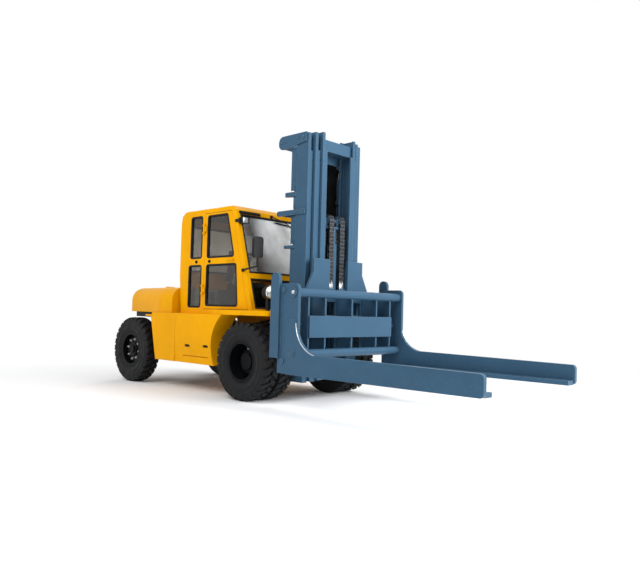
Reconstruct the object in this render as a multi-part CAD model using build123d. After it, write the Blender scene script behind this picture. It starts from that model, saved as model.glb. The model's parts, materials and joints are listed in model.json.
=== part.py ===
from build123d import *
import os
from math import atan2, cos, degrees, hypot, pi, radians, tan

# Diesel lift truck with a three-stage mast and two long L-section lifting arms.
# Millimetres. X is forward, Y is to the driver's left, Z is up from the floor.
# Stations along X are measured from the drive axle. The finished pieces are shifted
# so that the origin lies on the floor under the middle of the truck's length.

# Overall stations
ARM_TIP_X = 3520.0
WHEELBASE = 2800.0
REAR_OVERHANG = 640.0
TAIL_X = -WHEELBASE - REAR_OVERHANG
DRIVE_X = -(ARM_TIP_X + TAIL_X) / 2

# Running clearances
PIN_GAP = 0.3
SLIDE_GAP = 10.0
DOOR_GAP = 6.0

# Wheels and tyres
TYRE_R = 509.0
TYRE_W = 250.0
BEAD_R = 254.0
BEAD_INSET = 30.0
SHOULDER_R = 468.0
SHOULDER_INSET = 9.0
BULGE_R = 380.0
TREAD_INSET = 26.0
TREAD_DEPTH = 24.0
TREAD_LUGS = 28
GROOVE_W = 32.0
GROOVE_END_Y = 16.0
GROOVE_SKEW_DEG = 16.0
RIM_WALL = 20.0
RIM_INSET = 15.0
RIM_LIP = 17.0
RIM_LIP_T = 6.0
TWIN_PITCH = 275.0
DRIVE_OUTER_Y = 1067.0
STEER_OUTER_Y = 1027.0
DRIVE_HUB_R = 150.0
DRIVE_SPINDLE_R = 75.0
STEER_HUB_R = 105.0
STEER_SPINDLE_R = 60.0
DISC_T = 18.0
STEER_DISC_Y = 30.0
STEER_DISC_FLAT_R = 188.0
STEER_DISH = 34.0
HAND_HOLES = 8
HAND_HOLE_R = 17.0
HAND_HOLE_CIRCLE_R = 207.0
HUB_CAP_STEP = 45.0
DRIVE_CAP_Y = (60.0, 120.0, 160.0)
STEER_CAP_Y = (40.0, 70.0, 95.0)
STEER_HUB_IN_Y = -75.0

# Axles and knuckles
AXLE_TUBE_R = 130.0
DIFFERENTIAL_R = 190.0
DIFFERENTIAL_HALF = 150.0
STEER_BEAM_HALF_X = 70.0
STEER_BEAM_HALF_Z = 80.0
KINGPIN_Y = 690.0
KINGPIN_R = 40.0
KINGPIN_BOSS_R = 75.0
KNUCKLE_ARM_T = 60.0
KNUCKLE_HALF_X = 60.0
TRUNNION_R = 50.0

# Frame
BEAM_Y = (330.0, 420.0)
BEAM_Z = (640.0, 820.0)
BEAM_FRONT_X = 145.0
BEAM_REAR_X = -WHEELBASE + 650.0
SPINE_HALF_Y = 240.0
SPINE_Z = (610.0, 730.0)
SPINE_REAR_X = -WHEELBASE - 450.0
CROSS_MEMBER_X = (-1100.0, -1020.0)
FRONT_CROSS_X = (40.0, 120.0)
OUTRIGGER_XS = (-WHEELBASE + 900.0, -980.0)
OUTRIGGER_W = 100.0
AXLE_PAD_HALF_X = 110.0
HANGER_LUG_T = 60.0
HANGER_LUG_HALF_Y = 110.0

# Mast pivot and tilt cylinders
PIVOT_X = 200.0
PIVOT_Z = 420.0
PIVOT_R = 40.0
PIVOT_LUG_Y = (400.0, 440.0)
PIVOT_LUG_R = 52.0
TILT_Y = 455.0
TILT_EYE_HALF = 25.0
TILT_PIN_R = 25.0
TILT_EYE_R = 52.0
TILT_EYE_DRIFT = 6.0
TILT_ANCHOR_X = -780.0
TILT_ANCHOR_Z = 900.0
TILT_HEAD_X = 215.0
TILT_HEAD_Z = 1060.0
TILT_BARREL_R = 55.0
TILT_ROD_R = 30.0

# Body
BODY_Y = 1000.0
TANK_INNER_Y = 700.0
TANK_BOTTOM_Z = 400.0
TANK_ARCH_Z = 1030.0
TANK_LOW_REAR_X = -WHEELBASE + 700.0
TANK_ARCH_X = -WHEELBASE + 543.0
DECK_Z = 1110.0
TANK_FOOT_X = -670.0
TANK_BOW = (-722.0, 760.0)
TANK_CROWN_X = -500.0
TANK_SEAM_X = -1600.0
SEAM_W = 5.0
SEAM_DEPTH = 5.0
TANK_CREASE_Z = 790.0
TANK_TUCK = 24.0
FOOT_SLOT = (124.0, 36.0)
FOOT_SLOT_DEPTH = 45.0
STEP_GROOVE_X = (-1390.0, -790.0)
STEP_GROOVE_Z = (497.0, 509.0)
STEP_GROOVE_DEPTH = 12.0
FENDER_Y = (570.0, 985.0)
FENDER_TOP_Z = 1177.0
FENDER_TIP_X = 405.0
FENDER_TIP_R = 60.0
FENDER_REAR_X = -740.0
FENDER_CAB_X = -30.0
FENDER_WALL = 20.0
COUNTERWEIGHT_FRONT_X = -2090.0
COUNTERWEIGHT_Y = 955.0
COUNTERWEIGHT_BOTTOM_Z = DECK_Z
COUNTERWEIGHT_TOP_Z = 1500.0
COUNTERWEIGHT_EDGE_R = 200.0
COUNTERWEIGHT_CORNER = (350.0, 800.0)
COUNTERWEIGHT_BOW = (95.0, 680.0)
COUNTERWEIGHT_FLAT_Y = 440.0
BAY_Y = 600.0
BAY_REAR_X = TAIL_X + 690.0
HOOD_T = 40.0
CORE_Y = 240.0
TOW_BORE_R = 20.0
TOW_JAW_X = 110.0
TOW_JAW_Z = (620.0, 680.0)
TOW_BLOCK_Y = 150.0
TOW_BLOCK_Z = (550.0, 750.0)
GRILLE_Y = 330.0
GRILLE_Z = (1150.0, 1390.0)
GRILLE_RIM = 25.0
GRILLE_SLATS = 6
SLAT_SIZE = (26.0, 5.0)
SLAT_TURN_DEG = 35.0
TAIL_LAMP_Y = (350.0, 424.0)
TAIL_LAMP_Z = (1140.0, 1290.0)
TAIL_LAMP_DEPTH = 20.0
HOOD_HINGE_Y = (260.0, 420.0)
HOOD_KNUCKLE_L = 35.0
HOOD_SKIN_T = 8.0
HOOD_RIM = 60.0
HOOD_EDGE_R = 12.0
ENGINE_HALF_Y = 300.0
ENGINE_TOP_Z = 1420.0

# Cab
CAB_Y = 844.0
CAB_WALL = 40.0
CAB_FLOOR_T = 60.0
CAB_BASE_Z = DECK_Z + CAB_FLOOR_T
CAB_WAIST_Z = 1680.0
CAB_SHOULDER_Z = 2446.0
CAB_EAVE_Z = 2573.0
CAB_ROOF_Z = 2635.0
CAB_FRONT_BASE_X = -49.0
CAB_RAKE_DEG = 16.2
CAB_REAR_X = -1750.0
HOOD_FRONT_X = CAB_REAR_X - 35.0
GLASS_T = 8.0
GLASS_GAP = 0.3
DOOR_REAR_X = -1150.0
DOOR_Z = (1185.0, 2560.0)
DOOR_PILLAR = 90.0
HINGE_PIN_R = 8.0
HINGE_KNUCKLE_R = 16.0
HINGE_LEAF_T = 6.0
WINDOW_CORNER_R = 35.0
ROOF_FRONT_X = -547.0
ROOF_REAR_X = CAB_REAR_X + 125.0
ROOF_BOW = (CAB_REAR_X + 60.0, CAB_ROOF_Z - 22.0)
ROOF_EDGE_R = 30.0
WAIST_INSET = 50.0
EAVE_INSET = 25.0
HANDLE_X = (-590.0, -470.0)
HANDLE_Z = 1868.0
HANDLE_R = 9.0
HANDLE_REACH = 35.0
SEAT_BASE_X = (-1480.0, -960.0)
SEAT_BASE_Y = 300.0
SEAT_BASE_Z = 1480.0
SEAT_Y = 240.0
SEAT_T = 110.0
SEAT_TOP_Z = 2120.0
SEAT_BACK_T = 100.0
SEAT_EDGE_R = 25.0
DASH_X = (-480.0, -270.0)
DASH_Y = 380.0
DASH_TOP_Z = 1500.0
DASH_EDGE_R = 40.0
COLUMN_R = 32.0
COLUMN_FOOT = (-420.0, 0.0, 1470.0)
COLUMN_TOP = (-640.0, 0.0, 1790.0)
HAND_WHEEL_R = 185.0
HAND_WHEEL_GRIP_R = 15.0
MIRROR_X = (70.0, 112.0)
MIRROR_Y = (820.0, 980.0)
MIRROR_Z = (1870.0, 2150.0)
MIRROR_CORNER_R = 40.0
MIRROR_FOOT_Z = 1720.0
MIRROR_ELBOW = (92.0, 900.0, 1760.0)
STEM_R = 13.0
HEAD_LAMP = (190.0, 800.0, 1420.0)
HEAD_LAMP_R = 90.0
HEAD_LAMP_POST_W = 40.0
WORK_LAMP_Z = (2365.0, 2455.0)
WORK_LAMP_L = 80.0
WORK_LAMP_W = 100.0

# Mast stages: web faces along Y and depth along X for each rail
MAST_TOP_Z = 3540.0
OUTER_BOTTOM_Z = 260.0
STAGE_LIFT_Z = 15.0
FLANGE_T = 30.0
STAGE_FLANGE_T = 25.0
FOOT_ROLLER_Z = 130.0
OUTER_X = (390.0, 605.0)
OUTER_WEB_Y = (490.0, 520.0)
OUTER_FLANGE_Y = 440.0
MIDDLE_X = (430.0, 645.0)
MIDDLE_WEB_Y = (395.0, 425.0)
MIDDLE_FLANGE_Y = 335.0
MIDDLE_TONGUE_Y = 482.0
INNER_X = (470.0, 682.0)
INNER_WEB_Y = (300.0, 325.0)
INNER_FLANGE_Y = 237.0
INNER_TONGUE_Y = 387.0
TIE_WRAP_T = 20.0
TIE_REAR_X = 50.0
TIE_REAR_T = 30.0
TIE_FRONT_INSET = 25.0
LEAD_IN_Z = 235.0
LEAD_IN_LIP = 18.0
LIFT_X = 335.0
LIFT_Y = 425.0
LIFT_BARREL_R = 55.0
LIFT_ROD_R = 40.0
LIFT_BARREL_TOP_Z = MAST_TOP_Z - 440.0
OUTER_TIES = (
    # heights of the side plates, extra depth at their rear ends, rear corner radius
    ((MAST_TOP_Z - 115.0, MAST_TOP_Z + 10.0), 68.0, 80.0),
    ((MAST_TOP_Z - 1075.0, MAST_TOP_Z - 1010.0), 6.0, 28.0),
)
CLAMP_ZS = ((MAST_TOP_Z - 820.0, MAST_TOP_Z - 765.0), (MAST_TOP_Z - 1520.0, MAST_TOP_Z - 1480.0))
CLAMP_REACH = 170.0
CLAMP_EDGE = 70.0

# Free lift, chains and crosshead
FREE_X = 590.0
FREE_BARREL_R = 60.0
FREE_ROD_R = 45.0
FREE_BARREL_TOP_Z = 2100.0
SHEAVE_X = 597.0
SHEAVE_Z = 2420.0
SHEAVE_R = 55.0
SHEAVE_RIM = 14.0
SHEAVE_RIM_T = 4.0
SHEAVE_PIN_R = 25.0
CHEEK_T = 20.0
CHEEK_X = 35.0
CROSSHEAD_X = 45.0
CROSSHEAD_Z = (-110.0, -80.0)
CHAIN_Y = (60.0, 152.0)
CHAIN_T = 30.0
CHAIN_PITCH = 50.8
CHAIN_CORE_T = 16.0
CHAIN_FRONT_Z = 1500.0
CHAIN_REAR_Z = 1300.0

# Carriage
CARRIAGE_X = (690.0, 730.0)
CARRIAGE_Y = 830.0
CARRIAGE_Z = (590.0, 1430.0)
UPRIGHT_Y = (180.0, 483.0)
UPRIGHT_TOP_Z = 1880.0
FLARE_Y = 595.0
FLARE_Z = (1490.0, 1700.0)
PLATE_WINDOWS_Y = ((60.0, 460.0), (560.0, 770.0))
PLATE_WINDOWS_Z = ((700.0, 860.0), (1140.0, 1320.0))
SHAFT_X = 958.0
UPPER_SHAFT_Z = 1412.0
UPPER_SHAFT_R = 56.0
LOWER_SHAFT_Z = 670.0
LOWER_SHAFT_R = 52.0
RIB_T = 24.0
RIB_YS = (0.0, 510.0, 810.0)
RIB_FRONT_X = 980.0
RIB_SADDLE = 62.0
RIB_BEND_Z = 80.0
SHIELD_HALF_Y = 814.0
SHIELD_Z = (865.0, 1133.0)
SHIELD_T = 25.0
ROLLER_ZS = (830.0, 1700.0)
POSITIONER_X = 860.0
POSITIONER_Z = 1015.0
POSITIONER_R = 45.0
POSITIONER_ROD_R = 25.0

# Lifting arms
ARM_Y = (1010.0, 1060.0)
ARM_SHANK_Y = 1048.0
ARM_SHANK_X = (690.0, 1035.0)
ARM_BOTTOM_Z = 420.0
ARM_SHANK_TOP_Z = 1520.0
ARM_BLADE_TOP_Z = 650.0
ARM_FLANGE_Y = 870.0
ARM_FLANGE_T = 50.0
ARM_FLANGE_X = 1060.0
ARM_TIP_R = 45.0
ARM_TOP_R = 60.0
HEEL_REAR_X = 860.0
HEEL_START = (1320.0, 675.0)
HEEL_BOW = (1120.0, 780.0)
HEEL_END = (1010.0, 1040.0)
HEEL_NOSE = ((975.0, 1085.0), (920.0, 1060.0))
HEEL_REAR_Z = 900.0
HANGER_X = (587.0, 734.0)
HANGER_Z = (610.0, 1655.0)
HANGER_T = 40.0
ARM_PIN_R = 30.0
ARM_PIN_REACH = 22.0
ARM_PINS = ((790.0, 1440.0), (790.0, 575.0))


def block(x, y, z):
    """Box between a low and a high limit on each axis."""
    limits = (x, y, z)
    centre = [(low + high) / 2 for low, high in limits]
    size = [high - low for low, high in limits]
    return Pos(*centre) * Box(*size)


def outline(start, *steps):
    """Closed face from a start and its steps: a point is a line, a pair is an arc's middle and end."""
    edges = []
    here = start
    for step in steps:
        if isinstance(step[0], tuple):
            via, there = step
            edges.append(ThreePointArc(here, via, there))
        else:
            there = step
            edges.append(Line(here, there))
        here = there
    if here != start:
        edges.append(Line(here, start))
    return make_face(edges)


def side_plate(face, y):
    """Plate whose outline lies in X and Z, between two limits on Y."""
    return extrude(Plane.XZ.offset(-y[1]) * face, amount=y[1] - y[0])


def front_plate(face, x):
    """Plate whose outline lies in Y and Z, between two limits on X."""
    return extrude(Plane.YZ.offset(x[0]) * face, amount=x[1] - x[0])


def level_plate(face, z):
    """Plate whose outline lies in X and Y, between two limits on Z."""
    return extrude(Plane.XY.offset(z[0]) * face, amount=z[1] - z[0])


def rod_y(radius, x, z, y):
    """Round bar along Y."""
    return Pos(x, (y[0] + y[1]) / 2, z) * Rot(90, 0, 0) * Cylinder(radius, y[1] - y[0])


def rod_x(radius, y, z, x):
    """Round bar along X."""
    return Pos((x[0] + x[1]) / 2, y, z) * Rot(0, 90, 0) * Cylinder(radius, x[1] - x[0])


def rod_z(radius, x, y, z):
    """Round bar along Z."""
    return Pos(x, y, (z[0] + z[1]) / 2) * Cylinder(radius, z[1] - z[0])


def rod_between(radius, start, end):
    """Round bar between two points."""
    direction = Vector(*end) - Vector(*start)
    plane = Plane(origin=start, z_dir=direction)
    return extrude(plane * Circle(radius), amount=direction.length)


def ring(r, y):
    """Ring about the Y axis between two radii and two stations."""
    section = Pos((r[0] + r[1]) / 2, (y[0] + y[1]) / 2) * Rectangle(r[1] - r[0], y[1] - y[0])
    return revolve(section, Axis.Y)


def other_side(shape):
    """The same piece on the truck's right side."""
    return mirror(shape, about=Plane.XZ)


def pair(shape):
    """A left piece and its mirror image, as one node."""
    return Compound([*shape.solids(), *other_side(shape).solids()])


def save(name, shape):
    """Write one node, moved from the drive axle's stations to the truck's own origin."""
    moved = Pos(DRIVE_X, 0, 0) * shape
    export_step(moved, f"parts/{name}.step")


def rake_x(z, inset=0.0):
    """Station of the raked cab front at a height, moved back by an inset along X."""
    return CAB_FRONT_BASE_X - (z - CAB_BASE_Z) * tan(radians(CAB_RAKE_DEG)) - inset


# Wheels are made about the Y axis, with +Y pointing out of the truck's left side.
def tyre():
    """One tyre with bulged side walls and two staggered rows of shoulder lugs."""
    half = TYRE_W / 2
    bead = half - BEAD_INSET
    shoulder = half - SHOULDER_INSET
    tread = half - TREAD_INSET
    section = outline(
        (BEAD_R, -bead),
        ((BULGE_R, -half), (SHOULDER_R, -shoulder)),
        (TYRE_R, -tread),
        (TYRE_R, tread),
        (SHOULDER_R, shoulder),
        ((BULGE_R, half), (BEAD_R, bead)),
    )
    step = 360 / TREAD_LUGS
    groove = Box(GROOVE_W, half, 2 * TREAD_DEPTH)
    grooves = []
    for side in (-1, 1):
        seat = Pos(0, side * (GROOVE_END_Y + half / 2), TYRE_R) * Rot(0, 0, side * GROOVE_SKEW_DEG)
        for number in range(TREAD_LUGS):
            grooves.append(Rot(0, (number + side / 4) * step, 0) * seat * groove)
    return revolve(section, Axis.Y) - grooves


def rim_barrel(reach):
    """Rim barrel with a lip at each end that stands outside the tyre's bead."""
    rim_r = BEAD_R - PIN_GAP
    section = outline(
        (rim_r - RIM_WALL, -reach),
        (rim_r + RIM_LIP, -reach),
        (rim_r + RIM_LIP, RIM_LIP_T - reach),
        (rim_r, RIM_LIP_T - reach),
        (rim_r, reach - RIM_LIP_T),
        (rim_r + RIM_LIP, reach - RIM_LIP_T),
        (rim_r + RIM_LIP, reach),
        (rim_r - RIM_WALL, reach),
    )
    return revolve(section, Axis.Y)


def hub_and_cap(radius, spindle_r, inner_y, cap_y):
    """Hub bored for its spindle, with a stepped end cap."""
    hub = ring((spindle_r + PIN_GAP, radius), (inner_y, cap_y[0]))
    return hub + ring((0, radius), cap_y[:2]) + ring((0, radius - HUB_CAP_STEP), cap_y[1:])


def drive_rims():
    """Two rims back to back on one hub, with the hub's end cap deep in the outer rim."""
    reach = TWIN_PITCH / 2 + TYRE_W / 2 - RIM_INSET
    disc_r = BEAD_R - PIN_GAP - RIM_WALL + 5
    discs = ring((DRIVE_HUB_R - 5, disc_r), (-1.5 * DISC_T, 1.5 * DISC_T))
    hub_in = -TWIN_PITCH / 2 - TYRE_W / 2
    return rim_barrel(reach) + discs + hub_and_cap(DRIVE_HUB_R, DRIVE_SPINDLE_R, hub_in, DRIVE_CAP_Y)


def steer_rim():
    """Rim with a dished disc, hand holes and a small hub cap."""
    disc_r = BEAD_R - PIN_GAP - RIM_WALL + 5
    front = STEER_DISC_Y + DISC_T
    section = outline(
        (STEER_HUB_R - 5, STEER_DISC_Y),
        (STEER_DISC_FLAT_R, STEER_DISC_Y),
        (disc_r, STEER_DISC_Y - STEER_DISH),
        (disc_r, front - STEER_DISH),
        (STEER_DISC_FLAT_R, front),
        (STEER_HUB_R - 5, front),
    )
    hole = rod_y(HAND_HOLE_R, 0, HAND_HOLE_CIRCLE_R, (STEER_DISC_Y - STEER_DISH, front + 1))
    holes = []
    for number in range(HAND_HOLES):
        holes.append(Rot(0, (number + 0.5) * 360 / HAND_HOLES, 0) * hole)
    disc = revolve(section, Axis.Y) - holes
    hub = hub_and_cap(STEER_HUB_R, STEER_SPINDLE_R, STEER_HUB_IN_Y, STEER_CAP_Y)
    return rim_barrel(TYRE_W / 2 - RIM_INSET) + disc + hub


def drive_wheel():
    """Twin tyres and their rims at the left end of the drive axle."""
    outer_y = DRIVE_OUTER_Y - TYRE_W / 2
    inner_y = outer_y - TWIN_PITCH
    tyres = [Pos(0, y, TYRE_R) * tyre() for y in (inner_y, outer_y)]
    rims = Pos(0, (inner_y + outer_y) / 2, TYRE_R) * drive_rims()
    return Compound([solid for one in tyres for solid in one.solids()]), rims


def steer_wheel():
    """Single tyre and rim at the left end of the steer axle."""
    place = Pos(-WHEELBASE, STEER_OUTER_Y - TYRE_W / 2, TYRE_R)
    return place * tyre(), place * steer_rim()


def drive_axle():
    """Axle tube with its differential bulge, frame pads and wheel spindles."""
    inner_face = DRIVE_OUTER_Y - TYRE_W - TWIN_PITCH
    tube_end = inner_face - SLIDE_GAP
    spindle_end = inner_face + TYRE_W / 2 + TWIN_PITCH / 2 + 55
    axle = rod_y(AXLE_TUBE_R, 0, TYRE_R, (-tube_end, tube_end))
    axle += rod_y(DRIVE_SPINDLE_R, 0, TYRE_R, (-spindle_end, spindle_end))
    axle += rod_y(DIFFERENTIAL_R, 0, TYRE_R, (-DIFFERENTIAL_HALF, DIFFERENTIAL_HALF))
    for side in (-1, 1):
        y = sorted((side * (BEAM_Y[0] - 10), side * (BEAM_Y[1] + 10)))
        axle += block((-AXLE_PAD_HALF_X, AXLE_PAD_HALF_X), y, (TYRE_R, BEAM_Z[0]))
    return axle


def steer_axle():
    """Beam axle with kingpin bosses and the trunnions it rocks on."""
    x = (-WHEELBASE - STEER_BEAM_HALF_X, -WHEELBASE + STEER_BEAM_HALF_X)
    z = (TYRE_R - STEER_BEAM_HALF_Z, TYRE_R + STEER_BEAM_HALF_Z)
    axle = block(x, (-KINGPIN_Y, KINGPIN_Y), z)
    axle += rod_x(TRUNNION_R, 0, TYRE_R, (x[0] - 90, x[1] + 90))
    for side in (-1, 1):
        axle += rod_z(KINGPIN_BOSS_R, -WHEELBASE, side * KINGPIN_Y, (z[0] - 5, z[1] + 5))
    for side in (-1, 1):
        axle -= rod_z(KINGPIN_R + PIN_GAP, -WHEELBASE, side * KINGPIN_Y, (z[0] - 20, z[1] + 20))
    return axle


def knuckle():
    """Left steering knuckle: kingpin, two arms round the axle boss, and the spindle."""
    boss_z = STEER_BEAM_HALF_Z + 5
    arm_z = boss_z + SLIDE_GAP
    x = (-WHEELBASE - KNUCKLE_HALF_X, -WHEELBASE + KNUCKLE_HALF_X)
    web_y = (KINGPIN_Y + KINGPIN_BOSS_R + SLIDE_GAP, KINGPIN_Y + KINGPIN_BOSS_R + SLIDE_GAP + 28)
    top = (TYRE_R + arm_z, TYRE_R + arm_z + KNUCKLE_ARM_T)
    bottom = (TYRE_R - arm_z - KNUCKLE_ARM_T, TYRE_R - arm_z)
    piece = rod_z(KINGPIN_R, -WHEELBASE, KINGPIN_Y, (bottom[0], top[1]))
    for z in (top, bottom):
        piece += block(x, (KINGPIN_Y, web_y[1]), z)
        piece += rod_z(KNUCKLE_HALF_X, -WHEELBASE, KINGPIN_Y, z)
    piece += block(x, web_y, (bottom[0], top[1]))
    piece += rod_y(STEER_SPINDLE_R, -WHEELBASE, TYRE_R, (web_y[0], web_y[1] + 130))
    return piece


def frame():
    """Ladder frame, rear spine, outriggers, mast pivot brackets and tilt cylinder anchors."""
    beam_x = (BEAM_REAR_X, BEAM_FRONT_X)
    piece = block((BEAM_REAR_X, BEAM_REAR_X + 100), (-BEAM_Y[1], BEAM_Y[1]), (BEAM_Z[0], SPINE_Z[1]))
    piece += block((SPINE_REAR_X, BEAM_REAR_X), (-SPINE_HALF_Y, SPINE_HALF_Y), SPINE_Z)
    piece += block(CROSS_MEMBER_X, (-BEAM_Y[0], BEAM_Y[0]), BEAM_Z)
    piece += block(FRONT_CROSS_X, (-BEAM_Y[0], BEAM_Y[0]), (TYRE_R + DIFFERENTIAL_R + 15, BEAM_Z[1]))
    lug_y = (-HANGER_LUG_HALF_Y, HANGER_LUG_HALF_Y)
    for x in (-WHEELBASE - STEER_BEAM_HALF_X - 20 - HANGER_LUG_T, -WHEELBASE + STEER_BEAM_HALF_X + 20):
        piece += block((x, x + HANGER_LUG_T), lug_y, (TYRE_R - TRUNNION_R - 20, SPINE_Z[0]))
        piece -= rod_x(TRUNNION_R + PIN_GAP, 0, TYRE_R, (x - 5, x + HANGER_LUG_T + 5))
    bracket = outline(
        (BEAM_FRONT_X - 10, BEAM_Z[1]),
        (BEAM_FRONT_X, BEAM_Z[1]),
        (PIVOT_X + 35, PIVOT_Z + 36),
        ((PIVOT_X + 50, PIVOT_Z), (PIVOT_X, PIVOT_Z - 50)),
        (BEAM_FRONT_X - 10, PIVOT_Z - 50),
    )
    anchor = outline(
        (TILT_ANCHOR_X - 90, BEAM_Z[1]),
        (TILT_ANCHOR_X - 45, TILT_ANCHOR_Z),
        ((TILT_ANCHOR_X, TILT_ANCHOR_Z + 45), (TILT_ANCHOR_X + 45, TILT_ANCHOR_Z)),
        (TILT_ANCHOR_X + 60, BEAM_Z[1]),
    )
    bracket_y = (PIVOT_LUG_Y[0] - 45, PIVOT_LUG_Y[0] - 5)
    half = block(beam_x, BEAM_Y, BEAM_Z)
    half += side_plate(bracket, bracket_y)
    half += rod_y(PIVOT_R, PIVOT_X, PIVOT_Z, (bracket_y[0], PIVOT_LUG_Y[1] + 5))
    half += side_plate(anchor, (TILT_Y - 70, TILT_Y - 35))
    half += rod_y(TILT_PIN_R, TILT_ANCHOR_X, TILT_ANCHOR_Z, (TILT_Y - 70, TILT_Y + 30))
    for x in OUTRIGGER_XS:
        half += block((x, x + OUTRIGGER_W), (BEAM_Y[1], TANK_INNER_Y), (BEAM_Z[0] + 20, BEAM_Z[1] - 60))
    return piece + half + other_side(half)


def engine_block():
    """The diesel engine as one plain mass between the spine and the hood."""
    x = (BAY_REAR_X + 110, CAB_REAR_X - 50)
    return block(x, (-ENGINE_HALF_Y, ENGINE_HALF_Y), (SPINE_Z[1], ENGINE_TOP_Z))


FOOT_SLOTS = (
    # middle along X, middle height
    (-1290.0, 647.0),
    (-859.0, 657.0),
)


def side_tank():
    """Left side tank with its front wheel arch, panel seam, tucked foot, foot slots and step groove."""
    face = outline(
        (TANK_FOOT_X, TANK_BOTTOM_Z),
        (TANK_BOW, (TANK_CROWN_X, DECK_Z)),
        (TANK_ARCH_X + 27, DECK_Z),
        (TANK_ARCH_X, TANK_ARCH_Z),
        (TANK_LOW_REAR_X, TANK_BOTTOM_Z),
    )
    tank = side_plate(face, (TANK_INNER_Y, BODY_Y))
    shelf_x = (COUNTERWEIGHT_FRONT_X - 140, CAB_REAR_X)
    tank += block(shelf_x, (TANK_INNER_Y, BODY_Y), (TANK_ARCH_Z + 15, DECK_Z))
    tuck = outline(
        (BODY_Y, TANK_CREASE_Z),
        (BODY_Y - TANK_TUCK, TANK_BOTTOM_Z),
        (BODY_Y - TANK_TUCK, TANK_BOTTOM_Z - 1),
        (BODY_Y + 1, TANK_BOTTOM_Z - 1),
        (BODY_Y + 1, TANK_CREASE_Z),
    )
    tank -= front_plate(tuck, (TANK_SEAM_X, TANK_CROWN_X))
    seam_x = (TANK_SEAM_X - SEAM_W, TANK_SEAM_X)
    tank -= block(seam_x, (BODY_Y - SEAM_DEPTH, BODY_Y + 1), (TANK_BOTTOM_Z - 1, DECK_Z + 1))
    for x, z in FOOT_SLOTS:
        slot = Pos(x, z) * SlotOverall(*FOOT_SLOT)
        tank -= side_plate(slot, (BODY_Y - FOOT_SLOT_DEPTH, BODY_Y + 1))
    groove_y = (BODY_Y - TANK_TUCK - STEP_GROOVE_DEPTH, BODY_Y + 1)
    return tank - block(STEP_GROOVE_X, groove_y, STEP_GROOVE_Z)


def fender():
    """Left front wing: a flat deck over the twin wheel with a turned-down edge."""
    bend = FENDER_TIP_R * (1 - cos(pi / 4))
    plan = outline(
        (FENDER_TIP_X, FENDER_Y[0]),
        (FENDER_TIP_X, FENDER_Y[1] - FENDER_TIP_R),
        ((FENDER_TIP_X - bend, FENDER_Y[1] - bend), (FENDER_TIP_X - FENDER_TIP_R, FENDER_Y[1])),
        (FENDER_REAR_X, FENDER_Y[1]),
        (FENDER_REAR_X, CAB_Y + DOOR_GAP + 40),
        (FENDER_CAB_X, CAB_Y + DOOR_GAP + 40),
        (FENDER_CAB_X, FENDER_Y[0]),
    )
    deck = level_plate(plan, (DECK_Z, FENDER_TOP_Z))
    hollow_x = (FENDER_CAB_X + 10, FENDER_TIP_X - FENDER_WALL)
    hollow_y = (FENDER_Y[0] - 1, FENDER_Y[1] - FENDER_WALL)
    return deck - block(hollow_x, hollow_y, (DECK_Z - 1, FENDER_TOP_Z - FENDER_WALL))


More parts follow.
